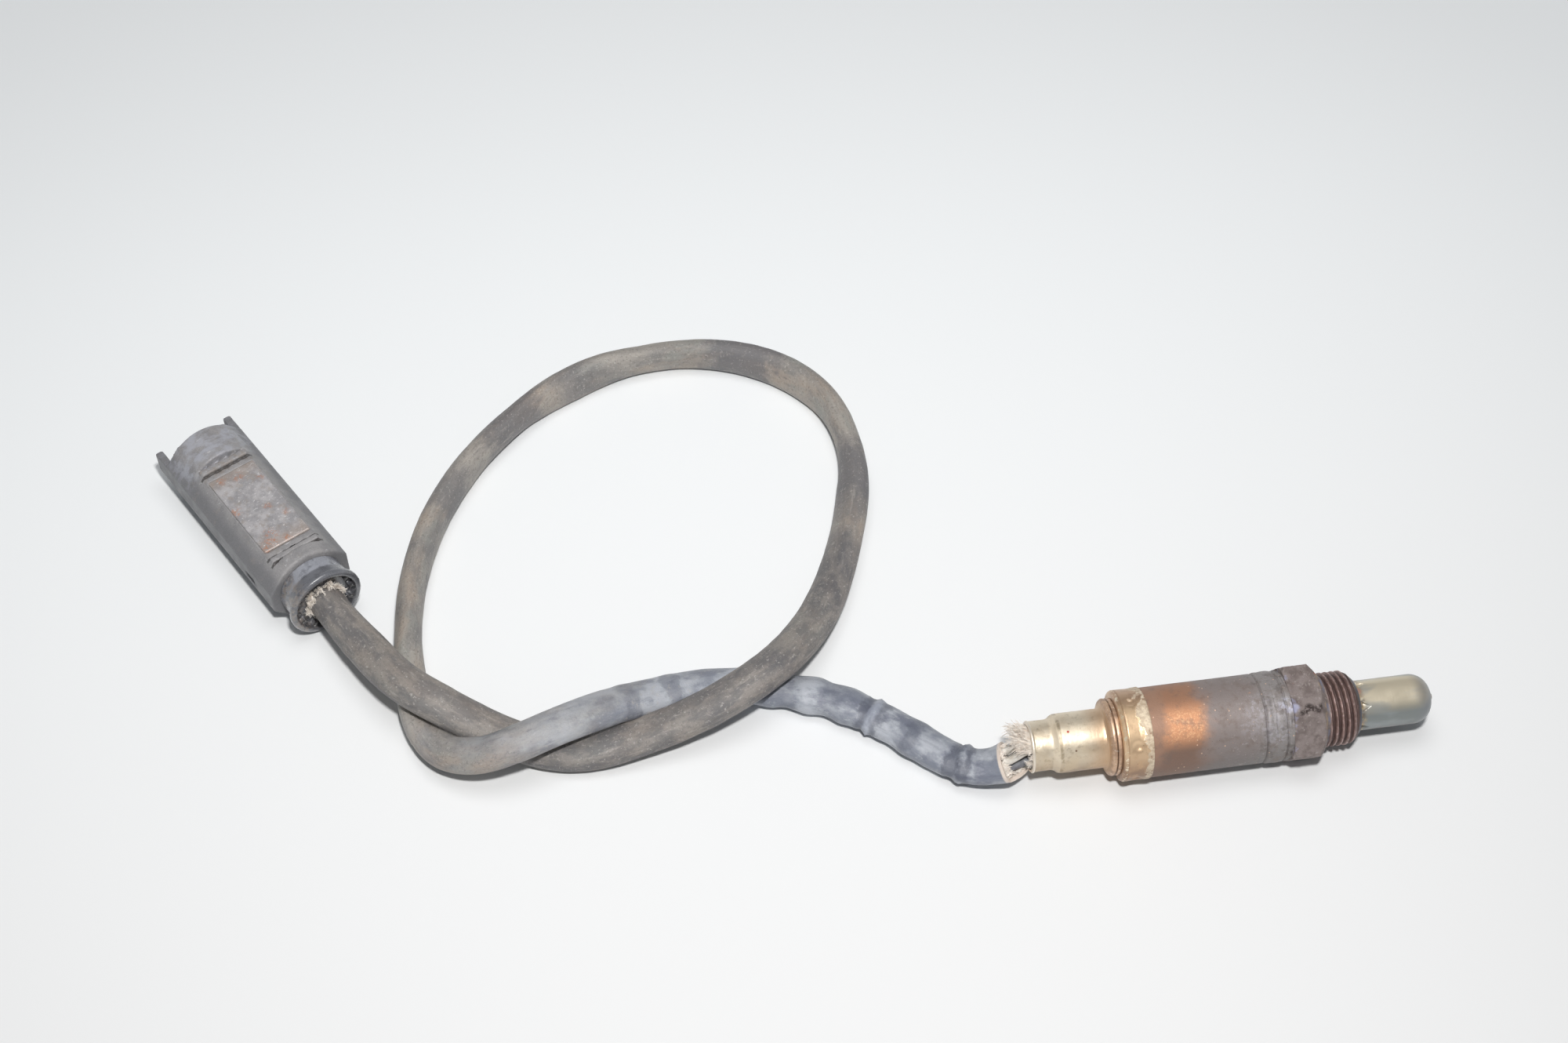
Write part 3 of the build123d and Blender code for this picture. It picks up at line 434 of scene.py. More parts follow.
def sleeve_material():
    """Casing: copper-coloured heat tint at the rear that turns grey-brown at the front."""
    p = Paint("casing")
    x = p.total(p.ragged(p.x, 9, p.noise(6, 5, 0.6)), (p.z, -0.22))
    # painted light: each tone is lighter towards the top, and the copper has a painted highlight
    # on its upper -Y side
    painted_top_light = p.ramp(p.z, -4.5, 9.5)
    bright = p.both(p.ramp(p.z, 4.4, 9), p.ramp(p.y, 1.5, -4.2, 0.35, 1))
    copper = p.blend(bright, "#806658", "#D69A72")
    mauve = p.blend(painted_top_light, "#7C665B", "#A4816C")
    grey = p.blend(painted_top_light, "#78716F", "#8E8481")
    pale = p.blend(painted_top_light, "#7B7775", "#948F8E")
    p.colour = p.blend(p.ramp(x, -43, -39), mauve, copper)
    p.lay(p.blend(painted_top_light, mauve, grey), p.ramp(x, -34.2, -28.6))
    p.lay(grey, p.ramp(x, -33, -25))
    p.lay(pale, p.ramp(x, -21, -15))
    p.lay("#76665E", p.patches(2.6, 6, 0.62, 0.48, 0.7, 0.5, shift=5))
    # freckles in the copper, a painted highlight speckle on its upper -Y side, then pale and dark
    # dots
    glow = p.both(p.ramp(x, -42, -39), p.ramp(x, -30, -34))
    p.lay("#F6CCA0", glow, p.ramp(p.z, 6, 8.6), p.ramp(p.y, -0.5, -4),
          p.patches(0.45, 4, 0.65, 0.5, 0.6, shift=33), 0.45)
    p.lay("#D8B89E", p.ramp(p.cells(1.5, 3), 0.15, 0.07),
          p.patches(5, 3, 0.5, 0.48, 0.58, shift=11))
    p.lay("#584A44", p.ramp(p.cells(0.9, 8), 0.13, 0.06),
          p.patches(4, 3, 0.5, 0.45, 0.55, shift=61), 0.8)
    # orange flecks, flaking scale, pale rubbed patches, and a painted bluish highlight at -9.7 mm
    p.lay("#BE9678", p.ramp(p.x, -28.5, -26),
          p.patches(0.9, 5, 0.65, 0.66, 0.74, shift=44), 0.8)
    p.lay("#B4AEAD", p.ramp(x, -28, -20),
          p.patches(0.9, 7, 0.72, 0.55, 0.68, 0.6, shift=17))
    for station, degrees, size, shade in (
            (-9.7, 112, 1.3, "#C2C2D2"), (-15, 118, 3, "#A8A3A7"),
            (-12, 140, 2.4, "#A4A0A5"), (-18.5, 128, 2.2, "#9C9596")):
        p.lay(shade, p.mark(station, degrees, 10.8, size, size),
              p.patches(1.3, 6, 0.72, 0.46, 0.58, 0.8, shift=size * 9))
    # soot at the front and a pale line at the band
    p.lay("#625A58", p.ramp(p.x, -18.5, -15),
          p.patches(2.4, 6, 0.68, 0.5, 0.66, shift=27), 0.6)
    p.lay("#D2BEA4", p.band(p.x, -42.45, 0.1, 0.1),
          p.patches(1.2, 4, 0.6, 0.46, 0.55, shift=2))
    height = p.total(p.noise(0.4, 6, 0.7, shift=7), (p.noise(2.6, 4, 0.6), 0.5))
    return p.finish(0.54, 0.22, height, 0.075)


def ring_material():
    """Crimped band: worn tan tint, with a ragged cream scale along its front edge."""
    p = Paint("crimped_band")
    # painted light: lighter towards the top, with painted shade on the upper +Y side
    p.colour = p.blend(p.ramp(p.z, -1, 8.5), "#927661", "#ECCCA6")
    p.lay("#C8A684", p.patches(3, 4, 0.6, 0.45, 0.65, 0.7, shift=5))
    p.lay("#9E7E6C", p.ramp(p.y, -1, 4), p.ramp(p.z, 4, 8), 0.6)
    scale = p.ramp(p.total(p.x, (p.noise(6, 6, 0.66, shift=8), 12)), -38.6, -38)
    cream = p.blend(p.patches(1.1, 5, 0.6, 0.35, 0.65), "#E2D5BE", "#BAA790")
    p.lay(cream, scale, 0.85)
    # a darker line in the groove, pale flecks at the rear edge, brown at the front edge, and
    # specks
    p.lay("#967660", p.band(p.x, -48.35, 0.15, 0.15),
          p.patches(2, 3, 0.5, 0.35, 0.5, shift=9), 0.35)
    p.lay("#ECDEC6", p.band(p.x, -48.9, 0.3, 0.2),
          p.patches(0.9, 4, 0.6, 0.55, 0.62, shift=51))
    p.lay("#96745C", p.band(p.x, -42.7, 0.4, 0.3),
          p.patches(1.3, 4, 0.6, 0.54, 0.6, shift=19), 0.7)
    p.lay("#866C56", p.patches(0.6, 5, 0.7, 0.64, 0.7, 0.8, shift=57))
    height = p.total((scale, p.noise(0.6, 5, 0.7)), (p.noise(0.4, 4, 0.6), 0.3))
    return p.finish(p.ramp(scale, 0, 1, 0.36, 0.56), p.ramp(scale, 0, 1, 0.62, 0.15), height, 0.08)


def outlet_material():
    """Drawn brass sleeve: pale straw colour with fine rings, specks and a darker bead."""
    p = Paint("outlet")
    # painted light: darker underneath and lighter on top
    p.colour = p.blend(p.ramp(p.z, -3.5, 5.5), "#9E8972", "#E8DBC5")
    p.lay("#D0BDA0", p.patches(4, 4, 0.6, 0.42, 0.66, 0.55, shift=3))
    p.lay("#A8967C", p.patches(1.6, 6, 0.7, 0.52, 0.68, 0.5, shift=22))
    p.lay("#C4A382", p.ramp(p.x, -59, -52.4, 0, 0.8))
    # the bead, with white deposits and two dirty grooves
    bead = p.ramp(p.x, -52.2, -51.8)
    gold = p.blend(p.patches(2.4, 4, 0.6, 0.4, 0.62, shift=8), "#CCAC90", "#A68872")
    p.lay(gold, bead)
    p.lay("#ECE4D6", bead, p.patches(0.7, 5, 0.7, 0.6, 0.66, shift=12))
    for place in (-50.6, -49.45):
        p.lay("#6E5444", p.band(p.x, place, 0.14, 0.12),
              p.patches(2, 4, 0.6, 0.3, 0.5, shift=18), 0.75)
    # specks, a red dot, the step's crease, the bright rim and a painted highlight on the shoulder
    p.lay("#80624E", p.ramp(p.cells(3.4, 7), 0.09, 0.05), p.ramp(p.x, -66, -60))
    p.lay("#B05446", p.mark(-61.5, 103, 7.1, 0.22, 0.16))
    p.lay("#9C8A70", p.band(p.x, -63.4, 0.2, 0.4),
          p.patches(2.5, 4, 0.6, 0.4, 0.6, shift=6), 0.7)
    p.lay("#EEE4D6", p.ramp(p.x, -69.6, -69.9, 0, 0.8))
    # a painted highlight on the sloping shoulder
    shoulder = p.band(p.x, -64.6, 0.6, 0.35)
    p.lay("#E2D4BC", shoulder, 0.35)
    rings = p.noise(0.5, 3, 0.5, stretch=(0.5, 30, 30), shift=1)
    height = p.total((rings, 0.6), p.noise(0.7, 5, 0.6, shift=2))
    metal = p.math("SUBTRACT", p.ramp(bead, 0, 1, 0.6, 0.45), p.both(shoulder, 0.3))
    return p.finish(p.ramp(p.noise(2, 4, 0.6, shift=15), 0.3, 0.7, 0.36, 0.5), metal,
                    height, 0.045)


def probe_material():
    """Probe tube: greenish grey, satin, a painted straw highlight on top, painted shade
    underneath, gold and brown at its root.
    """
    p = Paint("probe")
    # painted highlight: straw-coloured on top
    p.colour = p.blend(p.ramp(p.z, 2.6, 5.6), "#828786", "#D8CDB6")
    p.lay("#9CA2A4", p.patches(5, 3, 0.5, 0.45, 0.65, 0.6, stretch=(2.5, 1, 1), shift=3))
    # painted shade underneath
    p.lay("#444442", p.ramp(p.z, 0.5, -4.5))
    p.lay("#84868B", p.ramp(p.x, 22.5, 26.5, 0, 0.6))
    root = p.ramp(p.x, 11.6, 9.8)
    tan = p.blend(p.patches(1.3, 4, 0.6, 0.4, 0.6, shift=9), "#C8AC76", "#9E8876")
    p.lay(tan, root, p.patches(2, 3, 0.5, 0.36, 0.52, 0.85, shift=2))
    p.lay("#605C58", root, p.patches(2.4, 4, 0.6, 0.5, 0.62, 0.8, shift=36))
    p.lay("#4A3828", p.mark(9.9, 181, 6, 0.45, 0.3))
    p.lay("#BE988A", p.mark(9.8, 88, 6, 0.5, 0.7))
    height = p.total(p.noise(0.8, 2, 0.5, stretch=(0.3, 30, 30), shift=5), p.noise(0.8, 4, 0.6))
    return p.finish(p.ramp(p.noise(3, 4, 0.6, shift=8), 0.3, 0.7, 0.28, 0.38), 0.45, height, 0.02)


def plain_material(name, colour, other, roughness, metal=0, size=1.5, depth=0.04):
    """A lightly mottled finish for the pieces that are mostly hidden."""
    p = Paint(name)
    p.colour = p.blend(p.patches(size, 5, 0.6, 0.4, 0.65), colour, other)
    return p.finish(roughness, metal, p.noise(size * 0.35, 4, 0.6), depth)


# ---- the sensor's pieces ----
HEX_FLAT_R = 11.0           # half across the flats
THREAD_R, THREAD_PITCH, THREAD_DEPTH = 9, 1.5, 0.86
THREAD_START, THREAD_END = 1.05, 7.0


def hexagon_radius(angle):
    """Radius of a hexagon's side at each angle, with flats above and below."""
    sixth = math.pi / 3
    return HEX_FLAT_R / np.cos((angle - math.pi / 2 + sixth / 2) % sixth - sixth / 2)


def shell_shape(x, radius, angle, points):
    """Cuts the hexagon and the thread into the shell's turned form, then wears both."""
    is_hex = (x >= -8.3) & (x <= 0) & (radius > 10.25)
    hexed = np.minimum(radius, hexagon_radius(angle))
    grain = lumps(points, 1.6, 11)
    worn = 0.10 * grain - 0.16 * step(lumps(points, 0.9, 17), 0.25, 0.6)
    for pit_x, degrees, size, deep in ((-5.4, 121, 0.7, 0.55), (-4.6, 117, 0.8, 0.6),
                                       (-3.5, 121, 0.5, 0.45), (-1.7, 118, 0.6, 0.5),
                                       (-6.8, 124, 0.5, 0.25), (-2.6, 131, 0.5, 0.25)):
        away = np.hypot(x - pit_x, 12.4 * angle_from(angle, degrees))
        worn -= deep * hump(away, 0, size) * (0.75 + 0.5 * grain)
    corner = 1 - step(np.abs(angle_from(angle, 180)), 0.03, 0.11)
    worn -= corner * (0.22 + 0.35 * lumps(points, 1.3, 5))
    radius = np.where(is_hex, np.minimum(hexed + worn, HEX_FLAT_R / math.cos(math.pi / 6)), radius)
    turn = x / THREAD_PITCH - angle / (2 * math.pi)
    flank = np.abs((turn % 1) - 0.5) * 2
    cut = THREAD_DEPTH * step(flank, 0.16, 0.86)
    cut *= step(x, THREAD_START - 0.3, THREAD_START + 0.2)
    threaded = (x > THREAD_START - 0.2) & (x < 8.9) & (radius > 7)
    limit = np.where(x > THREAD_END, radius, THREAD_R)
    with_thread = np.minimum(limit, THREAD_R - cut) - 0.05 * (1 + lumps(points, 0.7, 23))
    return x, np.where(threaded, with_thread, radius)


def sleeve_shape(x, radius, angle, points):
    """Dents and creases at the casing's front end, and a ragged front edge."""
    wave = lumps(np.stack([0 * x, 6 * np.cos(angle), 6 * np.sin(angle)], axis=-1), 4, 3)
    depth = 0.03 * lumps(points, 2.5, 41)
    depth -= 0.45 * hump(x, -14.7 + 0.7 * wave, 0.22) * step(wave, -0.9, 0)
    depth += 0.12 * hump(x, -13.7 + 0.6 * wave, 0.5)
    depth -= 0.22 * hump(x, -12.2 + 0.8 * wave, 0.18) * step(-wave, -0.1, 0.3)
    depth -= 0.42 * hump(x, -9.7 + 0.3 * wave, 0.24) * step(wave, -0.8, -0.1)
    depth += 0.08 * hump(x, -11.3, 0.9) * (1 + wave)
    depth -= 0.08 * step(x, -14.5, -13.5) * (0.6 + lumps(points, 2.2, 43))
    depth -= 0.24 * step(x, -9.1, -8.6) * step(lumps(points, 1.7, 9), 0, 0.4)
    depth -= 0.35 * hump(x, -9, 0.9) * hump(angle_from(angle, 35), 0, 0.12)
    return x, np.where(radius > 10.3, np.minimum(radius + depth, 11), radius)


RING_DIMPLES, FIRST_DIMPLE, DIMPLE_X = 6, 19, -46.2


def ring_shape(x, radius, angle, points):
    """Punched dimples, a ragged scale at the front and a lip that is bent up."""
    moved = 0.025 * lumps(points, 2, 61)
    for i in range(RING_DIMPLES):
        across = 11.0 * angle_from(angle, FIRST_DIMPLE + 60.0 * i)
        away = np.hypot(x - DIMPLE_X, across)
        moved -= 0.40 * np.exp(-(away / 1.15) ** 3)
    ragged = step(x + 1.0 * lumps(points, 1.8, 71), -44, -43.6)
    moved += 0.08 * ragged * (0.6 + lumps(points, 0.5, 77))
    lip = hump(x, -42.7, 0.4) * hump(angle_from(angle, 40), 0, 0.5)
    return x, np.where(radius > 10.5, np.minimum(radius + moved, 11.0 + 0.28 * lip), radius)


def washer_shape(x, radius, angle, points):
    return x, np.where(radius > 8.9, radius + 0.05 * lumps(points, 1.2, 13), radius)


def outlet_shape(x, radius, angle, points):
    """Faint dents, a crease at the step and a battered rim."""
    moved = 0.03 * lumps(points, 3, 31) - 0.04 * hump(x, -63.2, 0.2)
    moved = moved + 0.04 * np.where(x < -69.5, lumps(points, 1, 37), 0)
    return x, np.where((radius > 5.75) & (x < -50.6), radius + moved, radius)


LOUVRES, FIRST_LOUVRE, LOUVRE_X, LOUVRE_LENGTH = 6, 7, 10.2, 2.3


def probe_shape(x, radius, angle, points):
    """Triangular louvres pressed in at the root, through both skins of the wall."""
    wall = (radius > 5.4) & (radius < 6.1) & (x > 8.8) & (x < 20)
    moved = 0.02 * lumps(points, 3, 51)
    for i in range(LOUVRES):
        across = np.abs(6.0 * angle_from(angle, FIRST_LOUVRE + 60.0 * i))
        along = (x - LOUVRE_X) / LOUVRE_LENGTH
        inside = step(1.2 * (1 - along) - across, 0, 0.2) * step(along, 0, 0.06)
        moved -= 0.72 * inside * (0.15 + 0.85 * step(along, 1, 0))
    return x, np.where(wall, radius + moved, radius)


PROBE_R, PROBE_TIP, DOME_R, WALL = 6, 28.5, 4.6, 0.5


def make_sensor():
    turned("threaded_shell", shell_material(), shell_shape, "plated_steel", "hex_shell", [
        (9.5, 6.95), (9.5, 6.45), (7.6, 6.45), (7.6, 4.7), (2.9, 4.7), (2, 6.6), (-5, 6.6),
        (-5, 8.2), (-15.3, 8.2), (-15.3, 9.6), (-14.8, 10.1), (-8.3, 10.1, 0.3),
        (-8.3, 11.8, 0.2), (-7.6, 12.7, 0.16), (-2.1, 12.8, 0.12), (0, 10.35, 0.2), (0, 9.5),
        (0.95, 9.4), (1, 9, 0.075), (THREAD_END, 9, 0.075), (8.3, 8.25, 0.075),
        (8.9, 7.5, 0.1),
    ], columns=288, crease=30)
    turned("casing_sleeve", sleeve_material(), sleeve_shape, "sleeve_steel",
           "protective_sleeve", [
        (-48.6, 9.8), (-48.6, 10.4), (-43.5, 10.4, 0.3), (-42.6, 10.75, 0.3),
        (-17, 10.75, 0.12), (-14.4, 10.78, 0.12), (-12.4, 10.95, 0.12), (-8.3, 10.95, 0.1),
        (-8.3, 10.15), (-42.4, 10.15), (-43.3, 9.8),
    ])
    turned("crimped_band", ring_material(), ring_shape, "sleeve_steel", "crimp_ring", [
        (-49.4, 7.6), (-49.4, 10.1, 0.15), (-49.1, 10.7, 0.12), (-48.6, 10.98, 0.12),
        (-48.4, 10.86, 0.1), (-48.15, 10.98, 0.14), (-45.4, 10.86, 0.14), (-43.2, 10.94, 0.12),
        (-42.5, 10.98, 0.1), (-42.3, 10.8, 0.1), (-42.45, 10.78), (-43.5, 10.42),
        (-48.65, 10.42), (-48.65, 7.6),
    ], columns=300, crease=45)
    straw = outlet_material()
    turned("clamp_washer_worn", straw, washer_shape, "sleeve_steel", "clamp_washer",
           [(-50.6, 7.55), (-50.6, 8.95, 0.1), (-50.4, 9.2, 0.1), (-49.95, 9.3, 0.1),
            (-49.6, 9.25, 0.1), (-49.4, 9.05), (-49.4, 7.55)])
    turned("outlet_drawn", straw, outlet_shape, "brass", "outlet_sleeve", [
        (-70.3, 5.45), (-70.3, 6, 0.08), (-70.1, 6.22, 0.08), (-69.85, 6.25, 0.08),
        (-69.5, 6.05, 0.1), (-65.7, 6.05, 0.3), (-65.1, 6.14, 0.1), (-64.6, 6.42, 0.1),
        (-64, 6.88, 0.1), (-63.5, 7.05, 0.12), (-62.8, 7.1, 0.3), (-53.2, 7.1, 0.14),
        (-52.6, 7.2, 0.1), (-52.25, 7.65, 0.08), (-52, 8.4, 0.08), (-51.75, 8.95, 0.08),
        (-51.4, 9.24, 0.08), (-51, 9.28, 0.06), (-50.75, 9.2, 0.06), (-50.62, 9),
        (-50.62, 7.5), (-46.6, 7.5), (-46.6, 6.9), (-63.5, 6.5), (-64.1, 6.3), (-64.7, 5.65),
        (-65.2, 5.45),
    ], columns=200)

    def dome(size, degrees):
        return [(PROBE_TIP - DOME_R + size * math.sin(a), PROBE_R - DOME_R + size * math.cos(a))
                for a in np.radians(degrees)]

    turned("probe_tube", probe_material(), probe_shape, "heat_tinted_steel", "protection_tube", [
        (7.65, 6.4), (8.75, 6.4), (8.75, PROBE_R, 0.07), (13.2, PROBE_R, 0.4),
        *dome(DOME_R, np.linspace(0, 90, 13)), (PROBE_TIP, 1.3), (PROBE_TIP - WALL, 1.3),
        *dome(DOME_R - WALL, np.linspace(90, 0, 7)), (13.2, PROBE_R - WALL, 0.07),
        (8.75, PROBE_R - WALL), (7.65, PROBE_R - WALL),
    ], crease=50)


# ---- the lead ----
# The lead's route, from the sensor's outlet to the plug, as in the part's source.
LEAD_ROUTE = [
    (-75.5, -1, -2.9), (-80.5, -0.6, -5.5), (-87, 3, -6.8), (-95, 11, -6.8),
    (-104, 19.4, -6.8), (-116, 27, -6.8), (-130, 31.8, -6.8), (-144, 33.8, -6.2),
    (-157, 30.8, -3.6), (-169, 26.4, 0.2), (-180, 21.6, 2.2), (-190, 18, 2.2),
    (-199.5, 17.8, -1.2), (-207.8, 22.4, -5), (-213, 31.5, -6.7), (-215, 44, -6.8),
    (-215.2, 60, -6.8), (-212.8, 78, -6.8), (-206, 98, -6.8), (-194, 117, -6.8),
    (-177, 133, -6.8), (-156, 143.6, -6.8), (-133, 145.4, -6.8), (-112, 137.6, -6.8),
    (-98.5, 122.5, -6.8), (-94.8, 103, -6.8), (-98.2, 84, -6.8), (-104.3, 67, -6.4),
    (-111, 52, -4.4), (-118.6, 40, -0.6), (-126.4, 31.4, 2.2), (-135.4, 25.6, 2.2),
    (-147, 22.2, -1.4), (-160, 20.2, -4.6), (-173, 18.6, -6.7), (-184, 20.8, -6.8),
    (-194, 25.4, -4.8), (-203, 29.8, -0.6), (-211, 34.6, 2.2), (-217.5, 40.8, 2.2),
    (-223.4, 50.4, 0.8), (-229.7, 60.9, -0.6), (-235.2, 70.6, -0.6),
]
LEAD_DIAMETER, LEAD_LENGTH = 8.4, 597.0
LEAD_SPACING, LEAD_COLUMNS = 0.85, 56
SLEEVE_WIDE, SLEEVE_THIN = 5.1, 3.45    # half axes of the flattened sleeve
ENTRY_WIDE, ENTRY_THIN = 4.45, 3.9      # half axes where it enters the plug
SKIN_RADIUS = 4.2                       # of the unrolled pattern on the sleeve
# How the sleeve's wide axis turns from level, in degrees, at distances along the lead.
SLEEVE_TWIST = [
    (0, 171), (50, 166), (75, 176), (150, 176), (188, 82), (212, 95), (240, 86), (263, 71),
    (281, 105), (291, 102), (303, 68), (318, 77), (340, 107), (356, 103), (371, 80),
    (380, 90), (393, 134), (410, 140), (425, 161), (445, 180), (597, 184),
]
# Bands where the sleeve has shrunk over a wrap: distance along, height, width.
SLEEVE_RIDGES = [(10.5, 0.60, 0.9), (36, 0.62, 0.75), (25, 0.25, 2), (43, 0.42, 2.4),
                 (52.5, 0.42, 2.8), (62, 0.32, 2.4), (69.5, 0.2, 2), (88, 0.16, 1.4),
                 (100, 0.12, 1.4)]


def lead_line():
    """Distances along the lead and evenly spaced points on it, in millimetres."""
    data = bpy.data.curves.new("lead_route", "CURVE")
    data.dimensions, data.resolution_u = "3D", 16
    spline = data.splines.new("NURBS")
    spline.points.add(len(LEAD_ROUTE) - 1)
    for point, place in zip(spline.points, LEAD_ROUTE):
        point.co = (*(Vector(place) * MM), 1)
    spline.order_u = 3
    spline.use_endpoint_u = True
    route = bpy.data.objects.new("lead_route", data)
    bpy.context.scene.collection.objects.link(route)
    line = bpy.data.meshes.new_from_object(route)
    points = np.array([v.co for v in line.vertices]) / MM
    bpy.data.objects.remove(route)
    bpy.data.meshes.remove(line)
    along = np.r_[0, np.cumsum(np.linalg.norm(np.diff(points, axis=0), axis=1))]
    even = np.linspace(0, along[-1], int(along[-1] / LEAD_SPACING))
    return even, np.stack([np.interp(even, along, points[:, k]) for k in range(3)], axis=1)


def lead_material():
    """Aged sleeve: grey and dusty brown, blue-grey and smoother towards the sensor."""
    p = Paint("lead_sleeve")
    along = p.add("Attribute", attribute_name="along").outputs["Fac"]
    p.place = p.add("Attribute", attribute_name="skin").outputs["Vector"]
    streak = p.noise(1.3, 5, 0.66, stretch=(7, 1, 1), shift=5)
    # the smoother length by the sensor: blue-grey, with dark bands of painted shade in the folds
    # beside its ridges, and a painted highlight on the ridge at 36 mm
    p.colour = p.blend(p.patches(6.5, 6, 0.62, 0.38, 0.6, stretch=(1.8, 1, 1), shift=23),
                       "#808591", "#B2B6BE")
    p.lay("#6C707F", p.patches(5, 6, 0.68, 0.52, 0.66, 0.75, stretch=(2.2, 1, 1), shift=29))
    p.lay("#BCC0C6", p.patches(2, 5, 0.68, 0.56, 0.7, 0.6, stretch=(1.5, 1, 1), shift=43))
    p.lay("#707482", p.ramp(streak, 0.54, 0.72, 0, 0.4))
    for place, size, share in (
            (9.2, 0.5, 0.75), (12.8, 0.9, 0.75), (34.4, 0.5, 0.6), (37.8, 0.8, 0.7),
            (25, 1.2, 0.45), (48, 1.4, 0.2), (58, 1.4, 0.25), (88, 1.5, 0.5), (100, 1.2, 0.45)):
        wave = p.ragged(along, 7, p.noise(3, 5, 0.62, shift=place))
        p.lay("#545866", p.band(wave, place, size, 1.6), share)
    # a painted highlight along the ridge at 36 mm
    wave = p.ragged(along, 3, p.noise(3, 5, 0.62, shift=35))
    p.lay("#B8BECC", p.band(wave, 35.9, 0.4, 1.2), 0.45)
    blue = p.colour
    # the rest: grey under brown and green dust, with dark patches
    p.colour = p.blend(p.patches(9, 5, 0.6, 0.36, 0.62, stretch=(2.4, 1, 1), shift=2),
                       "#82807E", "#A6A099")
    p.lay("#A6998D", p.patches(7, 6, 0.62, 0.43, 0.66, 0.85, stretch=(2.6, 1, 1), shift=7))
    p.lay("#949590", p.patches(6, 5, 0.62, 0.52, 0.66, 0.6, stretch=(2, 1, 1), shift=37))
    p.lay("#686769", p.patches(8, 7, 0.66, 0.5, 0.7, 0.8, stretch=(2.8, 1, 1), shift=13))
    for place, size, share in ((232, 4, 0.6), (262, 7, 0.75), (283, 3, 0.5), (333, 8, 0.8),
                               (388, 6, 0.8), (400, 3, 0.5), (425, 9, 0.5), (470, 9, 0.4)):
        wave = p.ragged(along, 20, p.noise(4.6, 6, 0.66, shift=place))
        p.lay("#68676B", p.band(wave, place, size - 1.5, 8), share)
    sooty = p.blend(p.patches(3, 6, 0.68, 0.42, 0.6, stretch=(2.4, 1, 1), shift=71),
                    "#5A595D", "#88827D")
    p.lay(sooty, p.ramp(along, 395, 430, 0, 0.64))
    p.lay("#706E6D", p.ramp(streak, 0.54, 0.72, 0, 0.45))
    p.lay("#B6B0A9", p.ramp(streak, 0.44, 0.3, 0, 0.4))
    p.lay("#6C6865", p.patches(0.7, 5, 0.74, 0.52, 0.64, 0.6, shift=3))
    p.lay("#BEBAB4", p.patches(0.7, 5, 0.74, 0.57, 0.66, 0.6, shift=19))
    # how the one gives way to the other, ash on the smoother length, and its pale mouth
    wander = p.noise(9, 5, 0.62, stretch=(2, 1, 1), shift=2)
    tail = p.ramp(p.total(along, (wander, 110)), 225, 135)
    p.lay(blue, tail)
    p.lay("#B2AEA8", p.ramp(along, 60, 100),
          p.patches(1.6, 6, 0.7, 0.54, 0.68, 0.6, shift=61), tail)
    p.lay("#E2D4C8", p.ramp(along, 0.95, 0.55))
    height = p.total((p.noise(0.42, 4, 0.65, shift=5), 0.7), (streak, 0.5),
                     p.noise(2.6, 4, 0.6, stretch=(2, 1, 1), shift=8),
                     (p.noise(1.1, 5, 0.75, shift=81), 1.6))
    return p.finish(p.ramp(tail, 0, 1, 0.48, 0.32), 0, height, 0.13)


